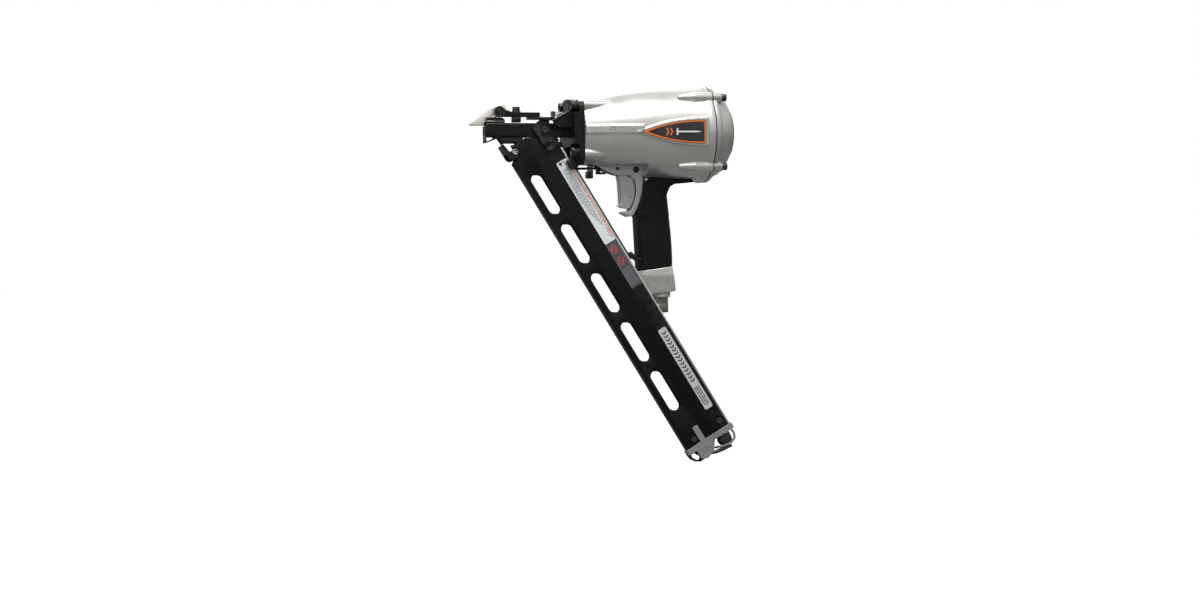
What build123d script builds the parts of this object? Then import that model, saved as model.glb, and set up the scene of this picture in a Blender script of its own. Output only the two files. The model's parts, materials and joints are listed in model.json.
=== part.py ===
from build123d import *

import os
from math import cos, radians, sin, tan

os.makedirs("parts", exist_ok=True)

# Pneumatic strip nailer.  Millimetres.  The origin is the centre of the muzzle, on the driver axis.
# +X runs back along the driver axis, +Z is up and -Y is the side that carries the magazine labels.

# ---- driving dimensions: barrel ----
TOE_THICKNESS = 1.6
FLANGE_BLOCK_X = 115.0
FLANGE_PLATE_X = 122.0
HOUSING_X = 129.0
SEAM_X = 305.0
GASKET = 0.8
CAP_X = SEAM_X + GASKET
CAP_END_X = 338.0
DRIVER_R = 3.2
BORE_R = 3.6
SLEEVE_R = 36.0
SLEEVE_BORE_R = 32.0
SLEEVE_X = (141.0, 290.0)
PISTON_X = 272.0
PISTON_LENGTH = 15.0
DRIVER_TIP_X = 100.0

# ---- driving dimensions: screws ----
NOSE_SCREW_SPOTS = [(-28.0, 36.0), (28.0, 36.0), (-28.0, -26.0), (28.0, -26.0)]
CAP_SCREW_SPOTS = [(-46.5, 46.5), (46.5, 46.5), (-46.5, -46.5), (46.5, -46.5)]
NOSE_SCREW_R = 4.0
CAP_SCREW_R = 3.0
THREAD_GAP = 0.05

# ---- driving dimensions: handle ----
FLAT_BOTTOM_Z = -43.0
BELLY_X = 217.0
HANDLE_TILT = 7.4
HANDLE_END = (235.5, 0.0, -183.3)
GRIP_HALF = 18.0
FITTING_X = 243.0
FITTING_Z = (-243.0, -217.0)

# ---- driving dimensions: trigger ----
TRIGGER_PIVOT = (182.2, -48.0)
LEVER_PIVOT = (199.5, -58.5)
BRACKET_PIN = (208.5, -49.3)
VALVE_X = 193.0
TRIGGER_HALF = 8.2
BRACKET_HALF = 12.0
BRACKET_SLOT_HALF = 8.8

# ---- driving dimensions: magazine ----
CANT = 7.0
MAGAZINE_ANGLE = 30.0
MAG_FRONT = 11.0
MAG_FLAT_END = 46.0
MAG_RAISED = 60.0
MAG_REAR = 78.0
MAG_END = 507.0
CHANNEL_HALF = 4.2
RAISED_HALF = 8.0
SHEET = 1.4
SLOT_FIRST = 112.8
SLOT_PITCH = 77.0
SLOT_COUNT = 5
SLOT_ACROSS = 28.6
SLOT_HALF_HEIGHT = 26.7
SLOT_HALF_WIDTH = 10.5
WINDOW_CORNER_R = 7.5
BARREL_BOTTOM_Z = -6.0
BARREL_TOP_Z = 13.0
LATCH_PIVOT = (38.5, -27.5)

# ---- working planes ----
CANT_NORMAL = Vector(0, -cos(radians(CANT)), sin(radians(CANT)))
CANTED = Plane(origin=(0, 0, 0), x_dir=(1, 0, 0), z_dir=CANT_NORMAL)
ALONG = CANTED.x_dir * sin(radians(MAGAZINE_ANGLE)) - CANTED.y_dir * cos(radians(MAGAZINE_ANGLE))
ACROSS = CANTED.x_dir * cos(radians(MAGAZINE_ANGLE)) + CANTED.y_dir * sin(radians(MAGAZINE_ANGLE))
MAGAZINE = Plane(origin=(0, 0, 0), x_dir=ALONG, z_dir=CANT_NORMAL)
HANDLE_PLANE = Plane(
    origin=HANDLE_END,
    x_dir=(cos(radians(HANDLE_TILT)), 0, sin(radians(HANDLE_TILT))),
    z_dir=(-sin(radians(HANDLE_TILT)), 0, cos(radians(HANDLE_TILT))),
)


def magazine_section(along):
    """Plane square to the magazine at a distance along it; local x is across, local y is towards -Y."""
    return Plane(origin=ALONG * along, x_dir=ACROSS, z_dir=ALONG)


def side_plane(y_start):
    """Side-view plane whose extrusions run from y_start towards -Y."""
    return Plane.XZ.offset(-y_start)


def save(piece, name):
    """Label a finished piece and write its file."""
    piece.part.label = name
    export_step(piece.part, f"parts/{name}.step")


def tube_about_x(x_from, x_to, outer, inner, spot=(0.0, 0.0)):
    """Ring or rod along X; an inner radius of zero makes a rod."""
    with BuildPart() as piece:
        with BuildSketch(Plane.YZ.offset(x_from)):
            with Locations(spot):
                Circle(outer)
                if inner > 0:
                    Circle(inner, mode=Mode.SUBTRACT)
        extrude(amount=x_to - x_from)
    return piece


def gather(pieces):
    """One part that holds several separate solids."""
    with BuildPart() as group:
        for piece in pieces:
            add(piece.part)
    return group


def pin_about_y(spot, radius, y_from, y_to):
    """Plain pin along Y at a side-view spot."""
    with BuildPart() as piece:
        with BuildSketch(side_plane(y_to)):
            with Locations(spot):
                Circle(radius)
        extrude(amount=y_to - y_from)
    return piece


def socket_screw(x_face, spot, shank_r, shank, head_r, head, direction):
    """Socket head cap screw along X; direction +1 drives it towards +X from its bearing face."""
    base = Plane(origin=(x_face, spot[0], spot[1]), x_dir=(0, 1, 0), z_dir=(direction, 0, 0))
    with BuildPart() as piece:
        with BuildSketch(base):
            Circle(shank_r)
        extrude(amount=shank)
        with BuildSketch(base):
            Circle(head_r)
        extrude(amount=-head)
        rims = piece.edges().filter_by(GeomType.CIRCLE).group_by(Axis.X)
        chamfer(rims[0 if direction > 0 else -1], 0.5)
        with BuildSketch(base.offset(-head)):
            RegularPolygon(radius=shank_r * 0.95, side_count=6)
        extrude(amount=head * 0.55, mode=Mode.SUBTRACT)
    return piece


# =====================================================================================
# Housing
# =====================================================================================

BARREL_LINE = [
    (HOUSING_X, 42.5),
    (141.0, 45.5),
    (168.0, 52.2),
    (202.0, 58.7),
    (232.0, 62.2),
    (277.0, 64.6),
    (297.0, 66.2),
]
SEAM_R = 67.2
LUG_R = 7.0
LUG_START_X = 257.0
LUG_FULL_X = 280.0
FRONT_BOSS_R = 6.5
FRONT_BOSS_SPOTS = [(-28.5, 36.0), (28.5, 36.0), (-33.0, -28.8), (33.0, -28.8)]
PAD_Z = -0.6
# shield shape of the side pad and of its plate: (start, end, half height at the end)
PAD_SHIELD = (-9.0, 89.0, 19.0)
PLATE_SHIELD = (-4.0, 85.0, 16.0)
SHIELD_POWER = 2.3
BAND_Z = 2.9
SHIELD_STEPS = 7


def shield_edge(shield, side):
    """Points of one curved edge of a shield, from its tip to its square end."""
    start, end, half = shield
    shares = [step / SHIELD_STEPS for step in range(SHIELD_STEPS + 1)]
    return [(start + (end - start) * s, side * half * (1 - (1 - s) ** SHIELD_POWER)) for s in shares]


def side_frame(near, x_start, r_start, x_end, r_end, z_mid):
    """Plane lying on the sloping side of the barrel; local x runs back, local z points outwards."""
    side = -1.0 if near else 1.0
    along = Vector(x_end - x_start, side * (r_end - r_start), 0).normalized()
    out = Vector(-side * along.Y, side * along.X, 0)
    return Plane(origin=(x_start, side * r_start, z_mid), x_dir=along, z_dir=out)


def pad_plane(near):
    """Face of the side pad that carries the nameplate."""
    return side_frame(near, 205.0, 61.0, 297.0, 68.2, PAD_Z)


with BuildPart() as barrel_blank:
    with BuildSketch(Plane.XZ):
        with BuildLine():
            Spline(*BARREL_LINE)
            Polyline(
                BARREL_LINE[-1], (299.0, SEAM_R), (SEAM_X, SEAM_R), (SEAM_X, 0), (HOUSING_X, 0),
                BARREL_LINE[0],
            )
        make_face()
    revolve(axis=Axis.X)

# room for the barrel in the grip, made of cones that stand just clear of its skin
GRIP_CLEARANCE = 0.4
with BuildPart() as barrel_room:
    with BuildSketch(Plane.XZ):
        with BuildLine():
            skin = Polyline(*[(x, r + GRIP_CLEARANCE) for x, r in BARREL_LINE])
            Polyline(skin @ 1, (BARREL_LINE[-1][0], 0), (HOUSING_X, 0), skin @ 0)
        make_face()
    revolve(axis=Axis.X)

with BuildPart() as core_blank:
    with BuildSketch(Plane.XY.offset(-54.0)):
        with Locations((235.0, 0)):
            RectangleRounded(31, 25, 8)
    with BuildSketch(HANDLE_PLANE):
        RectangleRounded(38, 26, 9)
    loft()

with BuildPart() as housing:
    add(barrel_blank.part)
    # front screw bosses and rear lugs
    with BuildSketch(Plane.YZ.offset(HOUSING_X)):
        with Locations(*FRONT_BOSS_SPOTS):
            Circle(FRONT_BOSS_R)
    extrude(amount=46)
    for spot in CAP_SCREW_SPOTS:
        with BuildSketch(Plane.YZ.offset(LUG_START_X)):
            with Locations(spot):
                Circle(LUG_R * 0.4)
        with BuildSketch(Plane.YZ.offset(LUG_FULL_X)):
            with Locations(spot):
                Circle(LUG_R)
        loft()
    with BuildSketch(Plane.YZ.offset(LUG_FULL_X)):
        with Locations(*CAP_SCREW_SPOTS):
            Circle(LUG_R)
    extrude(amount=SEAM_X - LUG_FULL_X)
    # spine band and shield pad on both sides
    for near in (True, False):
        band = side_frame(near, HOUSING_X, 44.6, 205.0, 61.2, 0.0)
        flip = 1.0 if near else -1.0
        with BuildSketch(band):
            with Locations((39.0, flip * BAND_Z)):
                Rectangle(78.0, 11.0)
        extrude(amount=-9.0)
        with BuildSketch(pad_plane(near)):
            with BuildLine():
                upper = Spline(*shield_edge(PAD_SHIELD, 1))
                lower = Spline(*shield_edge(PAD_SHIELD, -1))
                Line(upper @ 1, lower @ 1)
            make_face()
        extrude(amount=-9.0)
    # flat underside in front of the belly
    with BuildSketch(side_plane(80.0)):
        with BuildLine():
            Polyline(
                (120, FLAT_BOTTOM_Z), (BELLY_X, FLAT_BOTTOM_Z), (BELLY_X, -90), (120, -90), close=True,
            )
        make_face()
    extrude(amount=160.0, mode=Mode.SUBTRACT)
    add(core_blank.part)
    # cylinder chamber and air passage down the handle
    with BuildSketch(Plane.XZ):
        with BuildLine():
            Polyline(
                (136.0, 0), (136.0, 38.0), (221.0, 38.0), (232.0, 56.0), (277.0, 58.5), (SEAM_X, 59.0),
                (SEAM_X, 0),
                close=True,
            )
        make_face()
    revolve(axis=Axis.X, mode=Mode.SUBTRACT)
    with BuildSketch(Plane.XY.offset(-50.0)):
        with Locations((238.0, 0)):
            RectangleRounded(21, 17, 6)
    with BuildSketch(HANDLE_PLANE):
        RectangleRounded(29, 18, 7)
    loft(mode=Mode.SUBTRACT)
    # driver bore, screw holes, valve bore
    with BuildSketch(Plane.YZ.offset(HOUSING_X)):
        Circle(BORE_R)
    extrude(amount=10, mode=Mode.SUBTRACT)
    with BuildSketch(Plane.YZ.offset(HOUSING_X)):
        with Locations(*NOSE_SCREW_SPOTS):
            Circle(NOSE_SCREW_R + THREAD_GAP)
    extrude(amount=6.8, mode=Mode.SUBTRACT)
    with BuildSketch(Plane.YZ.offset(SEAM_X - 24)):
        with Locations(*CAP_SCREW_SPOTS):
            Circle(CAP_SCREW_R + THREAD_GAP)
    extrude(amount=24, mode=Mode.SUBTRACT)
    with BuildSketch(Plane.XY.offset(FLAT_BOTTOM_Z - 1)):
        with Locations((VALVE_X, 0)):
            Circle(7.55)
    extrude(amount=10, mode=Mode.SUBTRACT)
save(housing, "housing")

NAMEPLATE_THICKNESS = 0.6


def nameplate(near):
    """Blank shield-shaped plate on one side pad."""
    with BuildPart() as plate:
        with BuildSketch(pad_plane(near)):
            with BuildLine():
                upper = Spline(*shield_edge(PLATE_SHIELD, 1))
                lower = Spline(*shield_edge(PLATE_SHIELD, -1))
                Line(upper @ 1, lower @ 1)
            make_face()
        extrude(amount=NAMEPLATE_THICKNESS)
    return plate


save(gather([nameplate(near) for near in (True, False)]), "nameplates")

# =====================================================================================
# Cylinder cap, gasket, exhaust deflector
# =====================================================================================

with BuildPart() as cap_gasket:
    with BuildSketch(Plane.YZ.offset(SEAM_X)):
        Circle(SEAM_R - 0.4)
        with Locations(*CAP_SCREW_SPOTS):
            Circle(LUG_R - 0.4)
        Circle(59.0, mode=Mode.SUBTRACT)
        with Locations(*CAP_SCREW_SPOTS):
            Circle(CAP_SCREW_R + 0.2, mode=Mode.SUBTRACT)
    extrude(amount=GASKET)
save(cap_gasket, "cap_gasket")

DEFLECTOR_SEAT_X = 335.0
DEFLECTOR_R = 37.8
POST_END_X = 342.9
VALVE_HUB_R = 15.0

with BuildPart() as cylinder_cap:
    with BuildSketch(Plane.XZ):
        with BuildLine():
            Polyline(
                (CAP_X, 0), (CAP_X, SEAM_R - 0.4), (311.0, SEAM_R - 0.4), (312.5, 65.2), (315.0, 61.5),
                (325.0, 56.5), (332.0, 49.5), (336.0, 43.0), (CAP_END_X, 39.6), (CAP_END_X, 0),
                close=True,
            )
        make_face()
    revolve(axis=Axis.X)
    with BuildSketch(Plane.YZ.offset(CAP_X)):
        with Locations(*CAP_SCREW_SPOTS):
            Circle(LUG_R - 0.4)
    extrude(amount=12.4)
    # hollow with a guide socket for the head valve
    with BuildSketch(Plane.XZ):
        with BuildLine():
            Polyline(
                (CAP_X, 0), (CAP_X, 59.0), (311.0, 57.5), (322.0, 51.0), (328.0, 44.0), (330.0, 24.0),
                (312.0, 24.0), (312.0, VALVE_HUB_R + 0.4), (328.0, VALVE_HUB_R + 0.4), (328.0, 0),
                close=True,
            )
        make_face()
    revolve(axis=Axis.X, mode=Mode.SUBTRACT)
    # groove for the head valve spring
    with BuildSketch(Plane.YZ.offset(311.0)):
        Circle(19.8)
        Circle(16.7, mode=Mode.SUBTRACT)
    extrude(amount=7.0, mode=Mode.SUBTRACT)
    # seat of the deflector and the exhaust ports behind it
    with BuildSketch(Plane.YZ.offset(DEFLECTOR_SEAT_X)):
        Circle(DEFLECTOR_R + 0.4)
        Circle(8.0, mode=Mode.SUBTRACT)
    extrude(amount=10, mode=Mode.SUBTRACT)
    with BuildSketch(Plane.YZ.offset(326.0)):
        with PolarLocations(30.0, 6):
            Circle(3.5)
    extrude(amount=12, mode=Mode.SUBTRACT)
    with BuildSketch(Plane.YZ.offset(CAP_X)):
        with Locations(*CAP_SCREW_SPOTS):
            Circle(CAP_SCREW_R + 0.2)
    extrude(amount=20, mode=Mode.SUBTRACT)
    # centre post that the deflector turns on, with its screw hole
    with BuildSketch(Plane.YZ.offset(DEFLECTOR_SEAT_X)):
        Circle(8.0)
    extrude(amount=POST_END_X - DEFLECTOR_SEAT_X)
    with BuildSketch(Plane.YZ.offset(POST_END_X)):
        Circle(3.0 + THREAD_GAP)
    extrude(amount=-12.0, mode=Mode.SUBTRACT)
save(cylinder_cap, "cylinder_cap")

with BuildPart() as exhaust_deflector:
    with BuildSketch(Plane.XZ):
        with BuildLine():
            Polyline(
                (335.4, 8.4), (335.4, 37.4), (339.6, 37.4), (341.6, 34.0), (342.6, 26.0), (342.6, 8.4),
                close=True,
            )
        make_face()
    revolve(axis=Axis.X)
    with BuildSketch(Plane.XZ):
        with BuildLine():
            Polyline(
                (335.4, 11.0), (335.4, 34.5), (338.6, 34.5), (340.4, 26.0), (340.4, 11.0), close=True,
            )
        make_face()
    revolve(axis=Axis.X, mode=Mode.SUBTRACT)
    with BuildSketch(Plane.YZ.offset(338.4)):
        with Locations((0, 33.0)):
            Rectangle(26, 3.2)
    extrude(amount=6, mode=Mode.SUBTRACT)
save(exhaust_deflector, "exhaust_deflector")

deflector_screw = socket_screw(POST_END_X, (0, 0), 3.0, 10.0, 9.6, 2.2, -1)
save(deflector_screw, "deflector_screw")

CAP_BOSS_END_X = CAP_X + 12.4
WASHER = 1.2
cap_screws = gather(
    [
        socket_screw(CAP_BOSS_END_X + WASHER, spot, CAP_SCREW_R, 34.0, 5.0, 6.0, -1)
        for spot in CAP_SCREW_SPOTS
    ]
)
save(cap_screws, "cap_screws")

# =====================================================================================
# Inside the cylinder
# =====================================================================================

GROOVES_X = (146.0, 216.0)
GROOVE_WIDTH = 4.0

with BuildPart() as cylinder_sleeve:
    with BuildSketch(Plane.YZ.offset(SLEEVE_X[0])):
        Circle(SLEEVE_R)
        Circle(SLEEVE_BORE_R, mode=Mode.SUBTRACT)
    extrude(amount=SLEEVE_X[1] - SLEEVE_X[0])
    # return-air holes above the bumper
    with BuildSketch(side_plane(50.0)):
        with Locations((196.0, 0)):
            Circle(1.5)
    extrude(amount=100.0, mode=Mode.SUBTRACT)
    for groove_x in GROOVES_X:
        with BuildSketch(Plane.YZ.offset(groove_x)):
            Circle(SLEEVE_R + 1)
            Circle(SLEEVE_R - 1.5, mode=Mode.SUBTRACT)
        extrude(amount=GROOVE_WIDTH, mode=Mode.SUBTRACT)
save(cylinder_sleeve, "cylinder_sleeve")

sleeve_seals = gather(
    [tube_about_x(x + 0.3, x + GROOVE_WIDTH - 0.3, 37.95, SLEEVE_R - 1.45) for x in GROOVES_X]
)
save(sleeve_seals, "sleeve_seals")

with BuildPart() as bumper:
    with BuildSketch(Plane.XZ):
        with BuildLine():
            Polyline((141.2, 6.0), (141.2, 31.6), (152.0, 31.6), (170.0, 26.0), (170.0, 6.0), close=True)
        make_face()
    revolve(axis=Axis.X)
save(bumper, "bumper")

with BuildPart() as piston:
    with BuildSketch(Plane.XZ):
        with BuildLine():
            Polyline(
                (PISTON_X, 0), (PISTON_X, 22.0), (PISTON_X + 4, 31.6), (PISTON_X + 5.4, 31.6),
                (PISTON_X + 5.4, 29.0), (PISTON_X + 9.6, 29.0), (PISTON_X + 9.6, 31.6),
                (PISTON_X + PISTON_LENGTH, 31.6), (PISTON_X + PISTON_LENGTH, 24.0),
                (PISTON_X + 10, 20.0), (PISTON_X + 10, 0),
                close=True,
            )
        make_face()
    revolve(axis=Axis.X)
    with BuildSketch(Plane.YZ.offset(PISTON_X - 1)):
        Circle(DRIVER_R)
    extrude(amount=9.0, mode=Mode.SUBTRACT)
save(piston, "piston")

piston_ring = tube_about_x(PISTON_X + 5.5, PISTON_X + 9.5, 31.93, 29.1)
save(piston_ring, "piston_ring")

driver_blade = tube_about_x(DRIVER_TIP_X, PISTON_X + 8.0, DRIVER_R, 0)
save(driver_blade, "driver_blade")

with BuildPart() as head_valve:
    with BuildSketch(Plane.XZ):
        with BuildLine():
            Polyline(
                (290.6, 0), (290.6, 40.0), (297.0, 40.0), (299.5, VALVE_HUB_R), (318.0, VALVE_HUB_R),
                (318.0, 0),
                close=True,
            )
        make_face()
    revolve(axis=Axis.X)
    with BuildSketch(Plane.YZ.offset(320.0)):
        Circle(10.0)
    extrude(amount=-20.0, mode=Mode.SUBTRACT)
save(head_valve, "head_valve")


def coil_spring(centre, direction, radius, wire, pitch, turns):
    """Round-wire coil spring standing along a direction."""
    with BuildPart() as piece:
        with BuildLine():
            coil = Helix(
                pitch=pitch, height=pitch * turns, radius=radius, center=centre, direction=direction,
            )
        with BuildSketch(Plane(origin=coil @ 0, z_dir=coil % 0, x_dir=direction)):
            Circle(wire / 2)
        sweep(path=coil)
    return piece


head_valve_spring = coil_spring((301.8, 0, 0), (1, 0, 0), 18.2, 1.8, 2.9, 3)
save(head_valve_spring, "head_valve_spring")

# =====================================================================================
# Handle
# =====================================================================================

GRIP_TOP = [
    (218.3, -66.2), (227.0, -60.4), (243.0, -58.2), (272.0, -58.2), (286.0, -61.0), (289.0, -66.6),
    (262.0, -68.6), (254.5, -73.0), (251.5, -80.0), (255.0, -112.0), (208.4, -112.0), (209.3, -102.7),
    (213.6, -91.6), (217.4, -77.8),
]

with BuildPart() as grip_sleeve:
    with BuildSketch(side_plane(GRIP_HALF)):
        with BuildLine():
            Polyline(*GRIP_TOP, close=True)
        make_face()
    extrude(amount=2 * GRIP_HALF)
    back_edges = grip_sleeve.edges().filter_by(
        lambda edge: edge.center().X > 250 and edge.center().Z < -90 and abs(edge.center().Y) > 17
    )
    fillet(back_edges, 9.0)
    # the lower part starts on a fine step inside the top part's outline
    with BuildSketch(Plane.XY.offset(-112.0)):
        with Locations((231.7, 0)):
            RectangleRounded(45.8, 2 * GRIP_HALF - 0.8, 9)
    with BuildSketch(Plane.XY.offset(-140.0)):
        with Locations((233.8, 0)):
            RectangleRounded(48.6, 2 * GRIP_HALF, 12)
    with BuildSketch(HANDLE_PLANE):
        RectangleRounded(49.6, 2 * GRIP_HALF, 14)
    loft()
    add(barrel_room.part, mode=Mode.SUBTRACT)
    add(core_blank.part, mode=Mode.SUBTRACT)
    # pocket for the magazine strut
    with BuildSketch(side_plane(-7.0)):
        with Locations((212.0, -170.0)):
            Rectangle(10.0, 5.2)
    extrude(amount=6.2, mode=Mode.SUBTRACT)

INLET_FACE = HANDLE_PLANE.offset(-34.0)

with BuildPart() as handle_end_cap:
    with BuildSketch(HANDLE_PLANE):
        RectangleRounded(49.6, 2 * GRIP_HALF, 14)
    with BuildSketch(HANDLE_PLANE.offset(-16.0)):
        RectangleRounded(51.0, 33.6, 12)
    with BuildSketch(INLET_FACE):
        RectangleRounded(50.0, 32.0, 11)
    loft()
    with BuildSketch(Plane.XY.offset(-222.5)):
        with Locations((FITTING_X, 0)):
            Circle(15.0)
    extrude(amount=12.0)
    with BuildSketch(Plane.XY.offset(-226.0)):
        with Locations((FITTING_X, 0)):
            Circle(10.6)
    extrude(amount=40.0, mode=Mode.SUBTRACT)
    with BuildSketch(HANDLE_PLANE.offset(1.0)):
        RectangleRounded(38.1, 26.1, 9)
        RectangleRounded(29.0, 18.0, 7, mode=Mode.SUBTRACT)
    extrude(amount=-1.0, mode=Mode.SUBTRACT)
save(handle_end_cap, "handle_end_cap")
save(grip_sleeve, "grip_sleeve")

FITTING_R = 12.2
THREAD_R = 7.25

with BuildPart() as air_fitting:
    with BuildSketch(Plane.XY.offset(FITTING_Z[0])):
        with Locations((FITTING_X, 0)):
            Circle(FITTING_R)
    extrude(amount=-222.5 - FITTING_Z[0])
    with BuildSketch(Plane.XY.offset(-222.5)):
        with Locations((FITTING_X, 0)):
            Circle(10.55)
    extrude(amount=12.0)
    chamfer(air_fitting.edges().filter_by(GeomType.CIRCLE).group_by(Axis.Z)[0], 1.2)
    with BuildSketch(Plane.XY.offset(FITTING_Z[0])):
        with Locations((FITTING_X, 0)):
            Circle(THREAD_R)
    extrude(amount=14.0, mode=Mode.SUBTRACT)
    with BuildSketch(Plane.XY.offset(FITTING_Z[0])):
        with Locations((FITTING_X, 0)):
            Circle(5.5)
    extrude(amount=40.0, mode=Mode.SUBTRACT)
    # two wrench flats
    for side in (-1, 1):
        with BuildSketch(Plane.XY.offset(-231.0)):
            with Locations((FITTING_X, side * (FITTING_R + 8.6))):
                Rectangle(30, 20)
        extrude(amount=7.0, mode=Mode.SUBTRACT)
save(air_fitting, "air_fitting")

with BuildPart() as inlet_filter:
    with BuildSketch(Plane.XY.offset(-210.3)):
        with Locations((FITTING_X, 0)):
            Circle(10.2)
            Circle(7.5, mode=Mode.SUBTRACT)
    extrude(amount=20.0)
save(inlet_filter, "inlet_filter")

# =====================================================================================
# Trigger group
# =====================================================================================

BRACKET_SIDE = [
    (152.0, FLAT_BOTTOM_Z), (BELLY_X, FLAT_BOTTOM_Z), (218.2, -66.1), (217.3, -77.8), (213.5, -91.6),
    (209.1, -102.7), (203.9, -110.9), (199.0, -112.9), (189.5, -107.7), (190.6, -105.4), (198.5, -106.4),
    (201.5, -102.5), (204.3, -95.8), (207.0, -88.0), (208.7, -77.7), (208.0, -69.9), (206.0, -63.2),
    (198.0, -56.2), (183.3, -57.0), (173.5, -54.1), (164.9, -50.7),
]
BRACKET_SLOT = [
    (140.0, -40.0), (186.6, -40.0), (186.6, -49.9), (201.5, -49.9), (205.8, -53.0), (212.0, -59.0),
    (213.3, -66.0), (213.6, -78.0), (210.4, -91.0), (206.0, -101.0), (203.2, -105.0), (140.0, -105.0),
]

with BuildPart() as trigger_bracket:
    with BuildSketch(side_plane(BRACKET_HALF)):
        with BuildLine():
            Polyline(*BRACKET_SIDE, close=True)
        make_face()
    extrude(amount=2 * BRACKET_HALF)
    with BuildSketch(side_plane(BRACKET_SLOT_HALF)):
        with BuildLine():
            Polyline(*BRACKET_SLOT, close=True)
        make_face()
    extrude(amount=2 * BRACKET_SLOT_HALF, mode=Mode.SUBTRACT)
    with BuildSketch(Plane.XY.offset(-50.0)):
        with Locations((VALVE_X, 0)):
            Circle(6.05)
    extrude(amount=10, mode=Mode.SUBTRACT)
    with BuildSketch(side_plane(30.0)):
        with Locations(TRIGGER_PIVOT):
            Circle(2.05)
        with Locations(BRACKET_PIN):
            Circle(4.25)
    extrude(amount=60.0, mode=Mode.SUBTRACT)
    add(housing.part, mode=Mode.SUBTRACT)
save(trigger_bracket, "trigger_bracket")

TRIGGER_SIDE = [
    (179.6, -51.0), (185.0, -58.0), (186.5, -65.0), (187.7, -83.0), (188.1, -95.0), (186.1, -98.3),
    (191.0, -101.0), (199.4, -102.0), (203.6, -95.0), (206.4, -87.0), (207.9, -77.7), (207.4, -69.9),
    (205.4, -63.2), (204.0, -56.0), (203.0, -53.4), (186.4, -51.3), (182.2, -50.5),
]
TRIGGER_HOLLOW = [
    (170.0, -45.0), (183.2, -57.0), (189.6, -60.0), (191.0, -83.0), (191.2, -96.0), (198.5, -99.0),
    (201.5, -92.0), (204.4, -77.7), (203.0, -66.0), (215.0, -60.0), (215.0, -40.0), (170.0, -40.0),
]

with BuildPart() as trigger:
    with BuildSketch(side_plane(TRIGGER_HALF)):
        with BuildLine():
            Polyline(*TRIGGER_SIDE, close=True)
        make_face()
        with Locations(TRIGGER_PIVOT):
            Circle(3.7)
    extrude(amount=2 * TRIGGER_HALF)
    with BuildSketch(side_plane(4.6)):
        with BuildLine():
            Polyline(*TRIGGER_HOLLOW, close=True)
        make_face()
    extrude(amount=9.2, mode=Mode.SUBTRACT)
    with BuildSketch(side_plane(30.0)):
        with Locations(TRIGGER_PIVOT):
            Circle(2.05)
        with Locations(LEVER_PIVOT):
            Circle(1.55)
    extrude(amount=60.0, mode=Mode.SUBTRACT)
save(trigger, "trigger")

trigger_pins = gather([
    pin_about_y(TRIGGER_PIVOT, 2.0, -BRACKET_HALF - 0.4, BRACKET_HALF + 0.4),
    pin_about_y(BRACKET_PIN, 4.2, -BRACKET_HALF - 0.6, BRACKET_HALF + 0.6),
])
save(trigger_pins, "trigger_pins")
lever_pin = pin_about_y(LEVER_PIVOT, 1.5, -TRIGGER_HALF, TRIGGER_HALF)
save(lever_pin, "lever_pin")

LEVER_SIDE = [
    (169.5, -49.5), (178.3, -49.5), (180.0, -52.6), (194.0, -52.9), (201.5, -56.6), (201.5, -60.4),
    (197.0, -60.4), (190.0, -55.3), (177.0, -55.0), (176.8, -52.1), (169.5, -52.1),
]
with BuildPart() as contact_lever:
    with BuildSketch(side_plane(3.0)):
        with BuildLine():
            Polyline(*LEVER_SIDE, close=True)
        make_face()
    extrude(amount=6.0)
    with BuildSketch(side_plane(30.0)):
        with Locations(LEVER_PIVOT):
            Circle(1.55)
    extrude(amount=60.0, mode=Mode.SUBTRACT)
save(contact_lever, "contact_lever")

with BuildPart() as valve_body:
    with BuildSketch(Plane.XY.offset(-49.6)):
        with Locations((VALVE_X, 0)):
            Circle(6.0)
    extrude(amount=FLAT_BOTTOM_Z + 49.6)
    with BuildSketch(Plane.XY.offset(FLAT_BOTTOM_Z)):
        with Locations((VALVE_X, 0)):
            Circle(7.5)
    extrude(amount=4.5)
    with BuildSketch(Plane.XY.offset(-60.0)):
        with Locations((VALVE_X, 0)):
            Circle(2.05)
    extrude(amount=12.5, mode=Mode.SUBTRACT)
    with BuildSketch(Plane.XY.offset(-47.6)):
        with Locations((VALVE_X, 0)):
            Circle(4.4)
    extrude(amount=7.6, mode=Mode.SUBTRACT)
save(valve_body, "valve_body")

with BuildPart() as valve_stem:
    with BuildSketch(Plane.XY.offset(-51.0)):
        with Locations((VALVE_X, 0)):
            Circle(2.0)
    extrude(amount=4.6)
    with BuildSketch(Plane.XY.offset(-46.8)):
        with Locations((VALVE_X, 0)):
            Circle(3.6)
    extrude(amount=1.4)
save(valve_stem, "valve_stem")

valve_spring = coil_spring((VALVE_X, 0, -44.9), (0, 0, 1), 2.9, 0.7, 1.35, 3)
save(valve_spring, "valve_spring")

# =====================================================================================
# Nose
# =====================================================================================

SPRING_Z = 25.2
SPRING_POCKET_X = (104.0, 121.5)

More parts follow.
